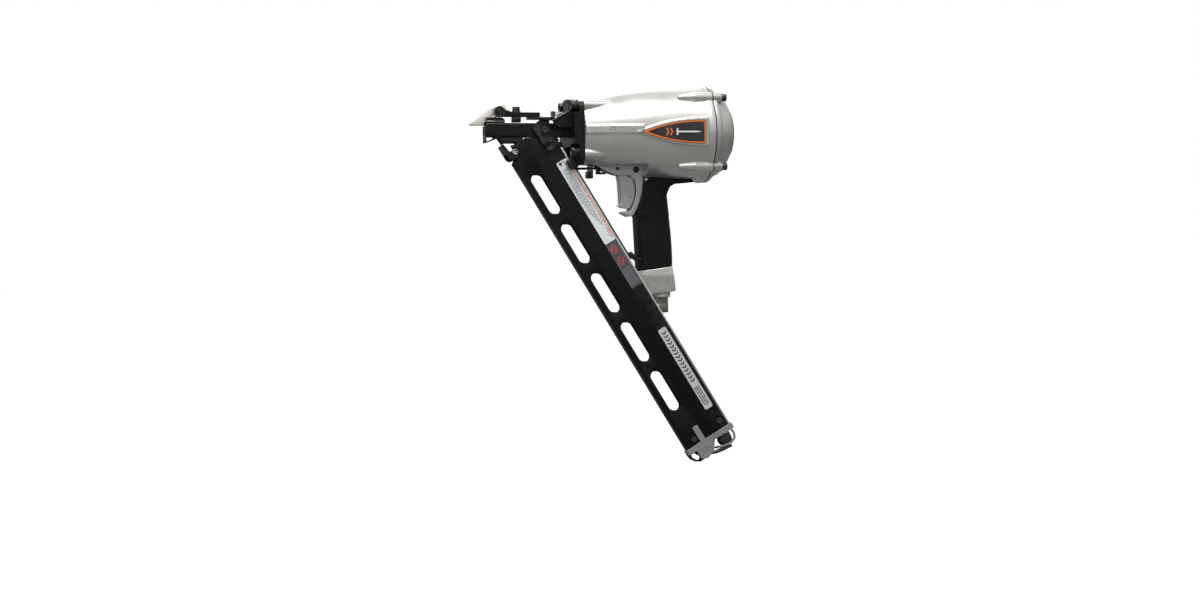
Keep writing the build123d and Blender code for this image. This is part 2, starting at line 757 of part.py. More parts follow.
with BuildPart() as nose_casting:
    # flange plate and the thicker block in front of it
    with BuildSketch(Plane.YZ.offset(FLANGE_PLATE_X)):
        with Locations((0, -1)):
            RectangleRounded(76, 86, 11)
    extrude(amount=HOUSING_X - FLANGE_PLATE_X)
    with BuildSketch(Plane.YZ.offset(FLANGE_BLOCK_X)):
        with Locations((0, 5)):
            Rectangle(74, 42)
        with Locations((0, 10)):
            Rectangle(38, 68)
    extrude(amount=FLANGE_PLATE_X - FLANGE_BLOCK_X)
    with BuildSketch(Plane.YZ.offset(FLANGE_BLOCK_X - 1)):
        with Locations((0, 36)):
            RectangleRounded(24, 18, 4)
    extrude(amount=2)
    # barrel: wide ahead of the magazine, narrow beside it
    with BuildSketch(Plane.YZ.offset(TOE_THICKNESS)):
        with Locations((0, (BARREL_TOP_Z + BARREL_BOTTOM_Z) / 2)):
            RectangleRounded(21, BARREL_TOP_Z - BARREL_BOTTOM_Z, 2.5)
    extrude(amount=54.0)
    with BuildSketch(Plane.YZ.offset(50.0)):
        with Locations((0, (BARREL_TOP_Z + BARREL_BOTTOM_Z) / 2)):
            Rectangle(14.6, BARREL_TOP_Z - BARREL_BOTTOM_Z)
    extrude(amount=FLANGE_BLOCK_X - 50.0)
    # web and gussets
    with BuildSketch(Plane.XY.offset(7.0)):
        with Locations((108.0, 0)):
            Rectangle(22, 40)
    extrude(amount=6.0)
    for y_high in (20.0, -14.0):
        with BuildSketch(side_plane(y_high)):
            with BuildLine():
                Polyline(
                    (97.0, 7.0), (92.0, 13.0), (90.0, 16.5), (118.0, 32.5), (FLANGE_PLATE_X, 32.5),
                    (FLANGE_PLATE_X, 7.0), close=True,
                )
            make_face()
        extrude(amount=6.0)
    # room for the linkage strap on the far side
    with BuildSketch(Plane.XY.offset(BARREL_TOP_Z)):
        with Locations((90.0, 22.0)):
            Rectangle(34.0, 18.0)
    extrude(amount=30.0, mode=Mode.SUBTRACT)
    # cheeks under the muzzle that carry the latch
    for n_start in (CHANNEL_HALF + 0.2, -CHANNEL_HALF - 3.2):
        with BuildSketch(CANTED.offset(n_start)):
            with BuildLine():
                Polyline(
                    (16.5, BARREL_BOTTOM_Z + 1.5), (22.0, -12.6), (24.5, -16.5), (27.0, -13.6),
                    (43.0, -13.6), (39.5, -23.0), (34.8, -30.0), (36.0, -32.0), (40.5, -32.0),
                    (51.5, -9.5), (52.6, BARREL_BOTTOM_Z + 1.5), close=True,
                )
            make_face()
        extrude(amount=3.0)
    with BuildSketch(CANTED.offset(-20.0)):
        with Locations(LATCH_PIVOT):
            Circle(2.0 + THREAD_GAP)
    extrude(amount=40.0, mode=Mode.SUBTRACT)
    # notches that clear the magazine and the follower tab
    with BuildSketch(Plane.XY.offset(-60.0)):
        with Locations((115.0, -9.0)):
            Rectangle(30.0, 36.0)
    extrude(amount=26.5, mode=Mode.SUBTRACT)
    with BuildSketch(Plane.XY.offset(-60.0)):
        with Locations((108.0, -4.0)):
            Rectangle(28.0, 26.0)
    extrude(amount=41.0, mode=Mode.SUBTRACT)
    # driver bore, feed throat, probe groove
    with BuildSketch(Plane.YZ):
        Circle(BORE_R)
    extrude(amount=HOUSING_X, mode=Mode.SUBTRACT)
    with BuildSketch(CANTED.offset(-CHANNEL_HALF)):
        with BuildLine():
            Polyline((20.0, 0.0), (97.0, 0.0), (112.0, -30.0), (20.0, -30.0), close=True)
        make_face()
    extrude(amount=2 * CHANNEL_HALF, mode=Mode.SUBTRACT)
    with BuildSketch(Plane.XY.offset(9.2)):
        with Locations((10.0, 0)):
            Rectangle(20.0, 6.4)
    extrude(amount=10.0, mode=Mode.SUBTRACT)
    # pocket of the return spring
    with BuildSketch(Plane.YZ.offset(SPRING_POCKET_X[0])):
        with Locations((0, SPRING_Z)):
            Circle(4.2)
    extrude(amount=SPRING_POCKET_X[1] - SPRING_POCKET_X[0], mode=Mode.SUBTRACT)
    # screw holes
    with BuildSketch(Plane.YZ.offset(100.0)):
        with Locations(*NOSE_SCREW_SPOTS):
            Circle(NOSE_SCREW_R + 0.2)
    extrude(amount=40.0, mode=Mode.SUBTRACT)
    with BuildSketch(Plane.YZ.offset(100.0)):
        with Locations(*NOSE_SCREW_SPOTS):
            Circle(8.0)
    extrude(amount=FLANGE_PLATE_X - 100.0, mode=Mode.SUBTRACT)
save(nose_casting, "nose_casting")

NOSE_WASHER_X = FLANGE_PLATE_X - 1.6
nose_screws = gather(
    [socket_screw(NOSE_WASHER_X, spot, NOSE_SCREW_R, 15.0, 6.5, 8.0, 1) for spot in NOSE_SCREW_SPOTS]
)
save(nose_screws, "nose_screws")

nose_washers = [
    tube_about_x(NOSE_WASHER_X, FLANGE_PLATE_X, 7.6, NOSE_SCREW_R + 0.1, spot)
    for spot in NOSE_SCREW_SPOTS
]
cap_washers = [
    tube_about_x(CAP_BOSS_END_X, CAP_BOSS_END_X + WASHER, 5.5, CAP_SCREW_R + 0.1, spot)
    for spot in CAP_SCREW_SPOTS
]
save(gather(nose_washers + cap_washers), "screw_washers")

with BuildPart() as nose_toe:
    with BuildSketch(side_plane(7.0)):
        with BuildLine():
            Polyline(
                (0, 8.8), (0, -13.5), (0.9, -14.0), (15.6, -8.2), (15.6, BARREL_BOTTOM_Z),
                (12.6, BARREL_BOTTOM_Z), (12.6, -7.8), (TOE_THICKNESS, -12.2), (TOE_THICKNESS, 8.8),
                close=True,
            )
        make_face()
    extrude(amount=14.0)
    with BuildSketch(Plane.YZ):
        Circle(BORE_R + 0.2)
    extrude(amount=5.0, mode=Mode.SUBTRACT)
save(nose_toe, "nose_toe")

with BuildPart() as probe_guides:
    with BuildSketch(side_plane(9.0)):
        with BuildLine():
            Polyline(
                (TOE_THICKNESS, BARREL_TOP_Z), (26.5, BARREL_TOP_Z), (26.5, 17.5), (22.5, 20.2),
                (TOE_THICKNESS, 20.2),
                close=True,
            )
        make_face()
    extrude(amount=18.0)
    with BuildSketch(Plane.YZ):
        with Locations((0, 17.0)):
            Rectangle(6.4, 12.0)
        with Locations((9.0, 16.6), (-9.0, 16.6)):
            Rectangle(2.0, 1.6)
    extrude(amount=40.0, mode=Mode.SUBTRACT)
save(probe_guides, "probe_guides")

# =====================================================================================
# Work contact: probe, bar, linkage to the trigger
# =====================================================================================

PROBE_PIVOT = (19.0, 27.8)
PROBE_HALF = 2.5
FORK_HALF = 6.5
ADJUSTER_X = 44.5
BAR_Z = (21.3, 27.4)

with BuildPart() as probe:
    with BuildSketch(side_plane(PROBE_HALF)):
        with BuildLine():
            Polyline(
                (-21.3, 9.4), (-18.6, 12.4), (-1.5, 24.5), (7.0, 32.0), (23.0, 37.3), (28.0, 38.3),
                (31.0, 31.0),
                (27.0, 24.5), (19.0, 21.8), (0.0, 14.0), (-0.6, 9.4), close=True,
            )
        make_face()
    extrude(amount=2 * PROBE_HALF)
    chamfer(probe.edges().filter_by(Axis.Y).sort_by(Axis.X)[0:1], 0.4)
    with BuildSketch(side_plane(30.0)):
        with Locations(PROBE_PIVOT):
            Circle(3.05)
    extrude(amount=60.0, mode=Mode.SUBTRACT)
save(probe, "probe")

with BuildPart() as probe_pivot_screw:
    with BuildSketch(side_plane(FORK_HALF)):
        with Locations(PROBE_PIVOT):
            Circle(3.0)
    extrude(amount=2 * FORK_HALF)
    with BuildSketch(side_plane(-FORK_HALF)):
        with Locations(PROBE_PIVOT):
            Circle(7.3)
    extrude(amount=5.0)
    with BuildSketch(side_plane(-FORK_HALF - 2.5)):
        with Locations(PROBE_PIVOT):
            Circle(5.2)
            Circle(4.2, mode=Mode.SUBTRACT)
    extrude(amount=3.0, mode=Mode.SUBTRACT)
save(probe_pivot_screw, "probe_pivot_screw")

with BuildPart() as contact_bar:
    with BuildSketch(side_plane(FORK_HALF)):
        with BuildLine():
            Polyline(
                (19.0, 21.4), (76.0, BAR_Z[0]), (76.0, BAR_Z[1]), (38.0, BAR_Z[1]), (33.0, 29.5),
                (25.0, 31.0),
                (19.0, 34.2), close=True,
            )
        make_face()
        with Locations(PROBE_PIVOT):
            Circle(6.4)
    extrude(amount=2 * FORK_HALF)
    with BuildSketch(side_plane(3.0)):
        with Locations((20.0, 25.0)):
            Rectangle(34.0, 30.0)
    extrude(amount=6.0, mode=Mode.SUBTRACT)
    with BuildSketch(side_plane(30.0)):
        with Locations(PROBE_PIVOT):
            Circle(3.0 + THREAD_GAP)
    extrude(amount=60.0, mode=Mode.SUBTRACT)
    with BuildSketch(Plane.XY.offset(10.0)):
        with Locations((ADJUSTER_X, 0)):
            Circle(3.0 + THREAD_GAP)
    extrude(amount=30.0, mode=Mode.SUBTRACT)
save(contact_bar, "contact_bar")

STRAP_Z = (17.8, 21.3)
LINK_Z = (-49.0, -46.0)
LEG_Y = (22.5, 26.0)

with BuildPart() as contact_linkage:
    # strap under the bar, then across to the far side
    with BuildSketch(Plane.XY.offset(STRAP_Z[0])):
        with BuildLine():
            Polyline(
                (60.0, -6.0), (97.0, -6.0), (97.0, LEG_Y[1]), (83.0, LEG_Y[1]), (83.0, 6.0),
                (60.0, 6.0), close=True,
            )
        make_face()
    extrude(amount=STRAP_Z[1] - STRAP_Z[0])
    # upstand that bears on the return spring
    with BuildSketch(Plane.XY.offset(STRAP_Z[1])):
        with Locations((95.5, 0)):
            Rectangle(3.0, 11.0)
    extrude(amount=8.0)
    # leg past the nose on the far side
    with BuildSketch(side_plane(LEG_Y[1])):
        with BuildLine():
            Polyline(
                (83.0, STRAP_Z[1]), (97.0, STRAP_Z[1]), (97.0, LINK_Z[0]), (83.0, LINK_Z[0]), close=True,
            )
        make_face()
    extrude(amount=LEG_Y[1] - LEG_Y[0])
    # plate below the flange, running in to the centre line
    with BuildSketch(Plane.XY.offset(LINK_Z[0])):
        with BuildLine():
            Polyline(
                (83.0, LEG_Y[0]), (83.0, LEG_Y[1]), (116.0, LEG_Y[1]), (140.0, 3.6), (160.5, 3.6),
                (160.5, -3.6),
                (138.0, -3.6), (112.0, 20.0), (97.0, LEG_Y[0]), close=True,
            )
        make_face()
    extrude(amount=LINK_Z[1] - LINK_Z[0])
    # dropped tip that lifts the lever
    with BuildSketch(side_plane(3.6)):
        with BuildLine():
            Polyline(
                (155.5, LINK_Z[1]), (160.5, LINK_Z[1]), (160.5, -52.6), (167.8, -52.6), (167.8, -55.4),
                (155.5, -55.4),
                close=True,
            )
        make_face()
    extrude(amount=7.2)
save(contact_linkage, "contact_linkage")

with BuildPart() as adjuster_screw:
    with BuildSketch(Plane.XY.offset(15.6)):
        with Locations((ADJUSTER_X, 0)):
            Circle(3.0)
    extrude(amount=BAR_Z[1] + 1.4 - 15.6)
    with BuildSketch(Plane.XY.offset(BAR_Z[1] + 1.4)):
        with Locations((ADJUSTER_X, 0)):
            Circle(5.0)
    extrude(amount=6.0)
    with BuildSketch(Plane.XY.offset(BAR_Z[1] + 7.4)):
        with Locations((ADJUSTER_X, 0)):
            RegularPolygon(radius=2.9, side_count=6)
    extrude(amount=-3.4, mode=Mode.SUBTRACT)
save(adjuster_screw, "adjuster_screw")

with BuildPart() as adjuster_washer:
    with BuildSketch(Plane.XY.offset(BAR_Z[1])):
        with Locations((ADJUSTER_X, 0)):
            Circle(6.2)
            Circle(3.1, mode=Mode.SUBTRACT)
    extrude(amount=1.4)
save(adjuster_washer, "adjuster_washer")

with BuildPart() as adjuster_spacer:
    with BuildSketch(Plane.XY.offset(14.2)):
        with Locations((ADJUSTER_X, 0)):
            RectangleRounded(11.6, 11.6, 3)
            Circle(3.0 + THREAD_GAP, mode=Mode.SUBTRACT)
    extrude(amount=BAR_Z[0] - 14.2)
save(adjuster_spacer, "adjuster_spacer")

contact_spring = coil_spring((97.6, 0, SPRING_Z), (1, 0, 0), 3.2, 0.9, 2.5, 5)
save(contact_spring, "contact_spring")

with BuildPart() as linkage_guide:
    with BuildSketch(Plane.YZ.offset(146.0)):
        with Locations((1.0, -52.0)):
            Rectangle(20.0, 18.0)
        with Locations((1.2, -47.6)):
            Rectangle(11.2, 4.4, mode=Mode.SUBTRACT)
    extrude(amount=2.5)
    with BuildSketch(Plane.YZ.offset(140.0)):
        with Locations((-4.0, -56.5)):
            Rectangle(9.0, 9.0)
    extrude(amount=6.0)
save(linkage_guide, "linkage_guide")

# =====================================================================================
# Latch under the muzzle
# =====================================================================================

LATCH_INNER = CHANNEL_HALF + 3.5
LATCH_ARM = 2.0

with BuildPart() as nose_latch:
    with BuildSketch(CANTED.offset(-LATCH_INNER - LATCH_ARM)):
        with BuildLine():
            Polyline(
                (20.5, -18.5), (23.5, -17.0), (32.5, -28.0), (36.0, -23.5), (41.0, -23.5), (43.6, -30.0),
                (42.8, -35.0), (38.5, -37.8), (34.0, -38.3), (30.5, -36.0), close=True,
            )
        make_face()
    extrude(amount=2 * (LATCH_INNER + LATCH_ARM))
    with BuildSketch(CANTED.offset(-LATCH_INNER)):
        with BuildLine():
            Polyline(
                (20.0, -10.0), (26.0, -10.0), (27.5, -27.5), (26.0, -40.0), (50.0, -40.0),
                (50.0, -10.0), close=True,
            )
        make_face()
    extrude(amount=2 * LATCH_INNER, mode=Mode.SUBTRACT)
    with BuildSketch(CANTED.offset(-20.0)):
        with Locations(LATCH_PIVOT):
            Circle(2.05)
    extrude(amount=40.0, mode=Mode.SUBTRACT)
save(nose_latch, "nose_latch")

with BuildPart() as latch_pins:
    for n_start in (CHANNEL_HALF + 0.2, -LATCH_INNER - LATCH_ARM - 1.0):
        with BuildSketch(CANTED.offset(n_start)):
            with Locations(LATCH_PIVOT):
                Circle(2.0)
        extrude(amount=LATCH_INNER + LATCH_ARM + 1.0 - CHANNEL_HALF - 0.2)
save(latch_pins, "latch_pins")

LATCH_SPRING_CENTRE = CANTED.from_local_coords(
    (LATCH_PIVOT[0], LATCH_PIVOT[1], LATCH_INNER + LATCH_ARM + 0.5)
)
latch_spring = coil_spring(LATCH_SPRING_CENTRE, CANT_NORMAL, 3.4, 0.9, 1.1, 3)
save(latch_spring, "latch_spring")

# =====================================================================================
# Magazine
# =====================================================================================


def plate_profile(offset):
    """Outline of one folded side plate in (across, outwards); offset moves it outwards."""
    inner = [
        (MAG_FRONT, CHANNEL_HALF), (MAG_FLAT_END + 0.3, CHANNEL_HALF), (MAG_RAISED + 0.3, RAISED_HALF),
        (MAG_REAR, RAISED_HALF),
    ]
    outer = [
        (MAG_REAR, RAISED_HALF + SHEET), (MAG_RAISED, RAISED_HALF + SHEET),
        (MAG_FLAT_END, CHANNEL_HALF + SHEET),
        (MAG_FRONT, CHANNEL_HALF + SHEET),
    ]
    return [(b, n + offset) for b, n in inner + outer]


def top_cut_points():
    """Region in front of the magazine's cut front end, in the canted plane."""
    return [(-20.0, -7.6), (53.7, -7.6), (37.5, -42.0), (25.0, -63.0), (-20.0, -63.0)]


def magazine_plate(near):
    """One side plate with its row of windows."""
    flip = 1.0 if near else -1.0
    with BuildPart() as piece:
        with BuildSketch(magazine_section(20.0)):
            with BuildLine():
                Polyline(*[(b, flip * n) for b, n in plate_profile(0.0)], close=True)
            make_face()
        extrude(amount=MAG_END - 20.0)
        with BuildSketch(CANTED.offset(-30.0)):
            with BuildLine():
                Polyline(*top_cut_points(), close=True)
            make_face()
            with Locations((60.0, 22.4)):
                Rectangle(200.0, 60.0)
        extrude(amount=60.0, mode=Mode.SUBTRACT)
        for index in range(SLOT_COUNT):
            centre = ALONG * (SLOT_FIRST + SLOT_PITCH * index) + ACROSS * SLOT_ACROSS
            x_mid, up_mid = CANTED.to_local_coords(centre).X, CANTED.to_local_coords(centre).Y
            lean = tan(radians(MAGAZINE_ANGLE)) * SLOT_HALF_HEIGHT
            with BuildSketch(CANTED.offset(-30.0)) as window:
                with BuildLine():
                    Polyline(
                        (x_mid - lean - SLOT_HALF_WIDTH, up_mid + SLOT_HALF_HEIGHT),
                        (x_mid - lean + SLOT_HALF_WIDTH, up_mid + SLOT_HALF_HEIGHT),
                        (x_mid + lean + SLOT_HALF_WIDTH, up_mid - SLOT_HALF_HEIGHT),
                        (x_mid + lean - SLOT_HALF_WIDTH, up_mid - SLOT_HALF_HEIGHT),
                        close=True,
                    )
                make_face()
                fillet(window.vertices(), WINDOW_CORNER_R)
            extrude(amount=60.0, mode=Mode.SUBTRACT)
    return piece


near_plate = magazine_plate(True)
save(near_plate, "magazine_plate_near")
far_plate = magazine_plate(False)
save(far_plate, "magazine_plate_far")


def bar_along(b_from, b_to, n_from, n_to, a_from, a_to):
    """Straight bar lying along the magazine."""
    with BuildPart() as piece:
        with BuildSketch(magazine_section(a_from)):
            with Locations(((b_from + b_to) / 2, (n_from + n_to) / 2)):
                Rectangle(b_to - b_from, n_to - n_from)
        extrude(amount=a_to - a_from)
    return piece


front_rail = bar_along(MAG_FRONT, MAG_FRONT + 3.0, -CHANNEL_HALF, CHANNEL_HALF, 60.0, MAG_END)
save(front_rail, "magazine_front_rail")

# the rear rail is two strips with the follower's slot between them
rear_rail = gather([
    bar_along(MAG_REAR, MAG_REAR + 2.5, -RAISED_HALF - SHEET, 0.0, 58.0, MAG_END),
    bar_along(MAG_REAR, MAG_REAR + 2.5, 6.9, RAISED_HALF + SHEET, 70.0, MAG_END),
])
save(rear_rail, "magazine_rear_rail")

rail_cover = bar_along(MAG_REAR + 2.5, MAG_REAR + 8.5, -RAISED_HALF, -1.0, 62.0, 247.0)
save(rail_cover, "magazine_rail_cover")


def nose_bracket(near):
    """Plate that ties one magazine side to the nose casting."""
    start = RAISED_HALF + SHEET if near else -RAISED_HALF - SHEET - 3.0
    with BuildPart() as piece:
        with BuildSketch(MAGAZINE.offset(start)) as outline:
            with BuildLine():
                Polyline(
                    (29.0, 58.0), (23.5, 68.4), (30.0, 80.5), (60.0, 80.5), (66.0, 74.0), (66.0, 60.5),
                    (49.0, 58.4), close=True,
                )
            make_face()
            fillet(outline.vertices(), 2.0)
        extrude(amount=3.0)
    return piece


save(gather([nose_bracket(near) for near in (True, False)]), "nose_brackets")

# handle strut from the rail cover to the handle core
with BuildPart() as handle_strut:
    with BuildSketch(side_plane(-7.2)):
        with BuildLine():
            Polyline(
                (196.0, -161.0), (200.0, -160.0), (208.0, -167.6), (216.4, -167.6), (216.4, -172.4),
                (205.0, -172.4),
                (196.0, -164.0), close=True,
            )
        make_face()
    extrude(amount=5.8)
    add(rail_cover.part, mode=Mode.SUBTRACT)
    add(rear_rail.part, mode=Mode.SUBTRACT)
    add(core_blank.part, mode=Mode.SUBTRACT)
save(handle_strut, "handle_strut")

# ---- follower ----
with BuildPart() as follower:
    with BuildSketch(CANTED.offset(-3.8)):
        with BuildLine():
            Polyline((36.0, -17.0), (84.0, -17.0), (98.0, -41.0), (50.0, -41.0), close=True)
        make_face()
    extrude(amount=7.6)
    with BuildSketch(MAGAZINE.offset(-7.3)):
        with Locations((89.0, 69.3)):
            Rectangle(32.0, 16.4)
    extrude(amount=14.6)
    with BuildSketch(MAGAZINE.offset(0.6)):
        with Locations((95.5, 80.5)):
            Rectangle(17.0, 11.0)
    extrude(amount=5.6)
    with BuildSketch(MAGAZINE.offset(0.6)):
        with Locations((95.5, 83.8)):
            Rectangle(17.0, 4.4)
    extrude(amount=11.0)
    # core for the spring roll
    with BuildSketch(MAGAZINE.offset(-8.0)):
        with Locations((88.0, 68.5)):
            Circle(6.4)
    extrude(amount=16.0, mode=Mode.SUBTRACT)
save(follower, "follower")

with BuildPart() as follower_tab:
    with BuildSketch(MAGAZINE.offset(11.6)):
        with Locations((95.8, 79.2)):
            RectangleRounded(14.0, 13.6, 2.5)
    extrude(amount=5.4)
    chamfer(follower_tab.faces().sort_by(Axis.Y)[0].edges(), 1.8)
save(follower_tab, "follower_tab")

with BuildPart() as follower_spring:
    with BuildSketch(MAGAZINE.offset(-6.5)):
        with Locations((88.0, 68.5)):
            Circle(6.35)
            Circle(3.4, mode=Mode.SUBTRACT)
    extrude(amount=13.0)
save(follower_spring, "follower_spring")


# ---- labels: warning, information and model, thin on the raised near face ----
LABELS = [(85.0, 212.2, 60.6, 77.6), (212.7, 281.0, 60.6, 77.6), (347.0, 472.0, 60.8, 73.2)]
with BuildPart() as magazine_labels:
    with BuildSketch(MAGAZINE.offset(RAISED_HALF + SHEET)):
        for a_from, a_to, b_from, b_to in LABELS:
            with Locations(((a_from + a_to) / 2, (b_from + b_to) / 2)):
                RectangleRounded(a_to - a_from, b_to - b_from, 1.2)
    extrude(amount=0.25)
save(magazine_labels, "magazine_labels")

# ---- lower end ----
COLLAR_SECTION = [
    (9.4, 7.4), (45.4, 7.4), (59.6, 11.4), (82.4, 11.4), (82.4, -11.4), (59.6, -11.4), (45.4, -7.4),
    (9.4, -7.4),
]
PASSAGE_SECTION = [
    (MAG_FRONT + 3, CHANNEL_HALF), (MAG_FLAT_END + 0.3, CHANNEL_HALF), (MAG_RAISED + 0.3, RAISED_HALF),
    (MAG_REAR, RAISED_HALF), (MAG_REAR, -RAISED_HALF), (MAG_RAISED + 0.3, -RAISED_HALF),
    (MAG_FLAT_END + 0.3, -CHANNEL_HALF), (MAG_FRONT + 3, -CHANNEL_HALF),
]
SLEEVED_SECTION = [
    (MAG_FRONT, CHANNEL_HALF + SHEET), (MAG_FLAT_END, CHANNEL_HALF + SHEET),
    (MAG_RAISED, RAISED_HALF + SHEET),
    (MAG_REAR + 2.5, RAISED_HALF + SHEET), (MAG_REAR + 2.5, -RAISED_HALF - SHEET),
    (MAG_RAISED, -RAISED_HALF - SHEET),
    (MAG_FLAT_END, -CHANNEL_HALF - SHEET), (MAG_FRONT, -CHANNEL_HALF - SHEET),
]

with BuildPart() as end_cap:
    with BuildSketch(magazine_section(504.0)):
        with BuildLine():
            Polyline(*COLLAR_SECTION, close=True)
        make_face()
    extrude(amount=8.0)
    with BuildSketch(magazine_section(500.0)):
        with BuildLine():
            Polyline(*SLEEVED_SECTION, close=True)
        make_face()
    extrude(amount=MAG_END - 500.0, mode=Mode.SUBTRACT)
    with BuildSketch(magazine_section(500.0)):
        with BuildLine():
            Polyline(*PASSAGE_SECTION, close=True)
        make_face()
    extrude(amount=30.0, mode=Mode.SUBTRACT)
    for flip in (1.0, -1.0):
        start = CHANNEL_HALF + SHEET if flip > 0 else -7.6
        with BuildSketch(MAGAZINE.offset(start)):
            with Locations((494.0, 36.2)):
                RectangleRounded(24.0, 8.4, 1.5)
        extrude(amount=2.0)
        inner = 4.6 if flip > 0 else -7.6
        lower_b = 21.0 if flip > 0 else 29.0
        with BuildSketch(MAGAZINE.offset(inner)):
            with BuildLine():
                Polyline(
                    (511.0, lower_b), (511.0, 52.0), (525.0, 41.5), (528.0, 29.0), (524.0, lower_b),
                    close=True,
                )
            make_face()
        extrude(amount=3.0)
        inner = 8.2 if flip > 0 else -11.4
        with BuildSketch(MAGAZINE.offset(inner)):
            with BuildLine():
                hoop = Polyline(
                    (511.0, 77.5), (518.0, 78.5), (524.5, 75.5), (527.6, 67.0), (526.0, 58.0),
                    (523.5, 51.0),
                )
                offset(hoop, amount=1.4, side=Side.BOTH)
            make_face()
        extrude(amount=3.2)
save(end_cap, "magazine_end_cap")

with BuildPart() as end_bumpers:
    for start in (4.6, -8.0):
        with BuildSketch(MAGAZINE.offset(start)):
            with Locations((519.5, 65.5)):
                Circle(8.0)
        extrude(amount=3.4)
save(end_bumpers, "end_bumpers")

with BuildPart() as end_foot:
    with BuildSketch(MAGAZINE.offset(-11.4)):
        with BuildLine():
            Polyline(
                (526.6, 52.0), (529.2, 66.5), (532.4, 66.5), (531.0, 52.0), (528.6, 41.0),
                (525.6, 41.5), close=True,
            )
        make_face()
    extrude(amount=22.8)
    with BuildSketch(MAGAZINE.offset(-20.0)):
        for rib in range(4):
            with Locations((532.6, 46.0 + 5.0 * rib)):
                Rectangle(1.6, 1.6)
    extrude(amount=40.0, mode=Mode.SUBTRACT)
save(end_foot, "end_foot")

with BuildPart() as hanger_tab:
    with BuildSketch(MAGAZINE.offset(-7.4)):
        with BuildLine():
            Polyline(
                (512.0, 9.6), (518.0, 11.0), (524.0, 15.5), (528.0, 22.0), (528.0, 28.8),
                (512.0, 28.8), close=True,
            )
        make_face()
        with Locations((518.6, 19.2)):
            SlotOverall(11.6, 6.4, rotation=35, mode=Mode.SUBTRACT)
    extrude(amount=3.0)
save(hanger_tab, "hanger_tab")

# ---- button head screws of the magazine: (along, across, height of the face, head radius) ----
MAGAZINE_SCREWS = [
    (38.5, 71.0, RAISED_HALF + SHEET + 3.0, 4.5),
    (53.0, 69.7, RAISED_HALF + SHEET + 3.0, 3.6),
    (496.4, 26.0, CHANNEL_HALF + SHEET, 4.0),
    (494.0, 69.0, RAISED_HALF + SHEET, 4.0),
]
with BuildPart() as magazine_screws:
    for flip in (1.0, -1.0):
        for along, across, level, head_r in MAGAZINE_SCREWS:
            head_origin = MAGAZINE.from_local_coords((along, across, flip * level))
            head_plane = Plane(origin=head_origin, x_dir=ALONG, z_dir=CANT_NORMAL * flip)
            with BuildSketch(head_plane):
                Circle(head_r)
            extrude(amount=1.8)
            with BuildSketch(head_plane.offset(1.8)):
                RegularPolygon(radius=head_r * 0.55, side_count=6)
            extrude(amount=-1.2, mode=Mode.SUBTRACT)
save(magazine_screws, "magazine_screws")
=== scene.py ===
"""Pneumatic strip nailer: refined meshes, materials, prints and a plain studio round the CAD frame."""
import json
import math
import random

import bmesh
import bpy
from mathutils import Matrix, Vector


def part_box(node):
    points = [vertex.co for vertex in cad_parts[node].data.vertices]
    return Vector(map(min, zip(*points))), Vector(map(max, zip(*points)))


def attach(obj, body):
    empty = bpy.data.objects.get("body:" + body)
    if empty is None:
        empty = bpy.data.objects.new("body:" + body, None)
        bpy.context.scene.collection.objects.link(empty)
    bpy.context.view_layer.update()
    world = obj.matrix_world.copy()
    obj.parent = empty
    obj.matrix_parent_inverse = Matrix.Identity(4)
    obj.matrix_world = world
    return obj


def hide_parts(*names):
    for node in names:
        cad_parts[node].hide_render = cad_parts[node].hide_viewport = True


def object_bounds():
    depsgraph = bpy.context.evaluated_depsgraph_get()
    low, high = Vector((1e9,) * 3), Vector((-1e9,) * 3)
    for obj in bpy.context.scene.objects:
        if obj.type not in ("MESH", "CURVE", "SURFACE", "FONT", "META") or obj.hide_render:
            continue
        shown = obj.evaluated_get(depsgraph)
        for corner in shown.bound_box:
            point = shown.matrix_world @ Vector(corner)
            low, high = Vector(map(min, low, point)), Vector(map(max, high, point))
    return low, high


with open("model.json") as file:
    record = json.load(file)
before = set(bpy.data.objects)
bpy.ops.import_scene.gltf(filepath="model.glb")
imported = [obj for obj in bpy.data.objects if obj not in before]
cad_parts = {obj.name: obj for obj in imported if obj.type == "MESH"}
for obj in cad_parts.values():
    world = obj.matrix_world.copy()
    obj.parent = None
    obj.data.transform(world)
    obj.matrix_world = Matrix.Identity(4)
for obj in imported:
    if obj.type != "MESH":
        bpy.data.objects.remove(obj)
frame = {"nodes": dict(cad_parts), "record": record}
CAD_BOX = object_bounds()
MM = 0.001
BODY_OF = {node: body for body, nodes in frame["record"]["behaviour"]["bodies"].items() for node in nodes}


# ---------------------------------------------------------------------------------------
# Materials: noise scales are per metre, heights and places in millimetres
# ---------------------------------------------------------------------------------------

RANGE_SOCKETS = ("From Min", "From Max", "To Min", "To Max")
CAST_BAND_FOOT, CAST_BAND_EDGE = -194.0, -190.0

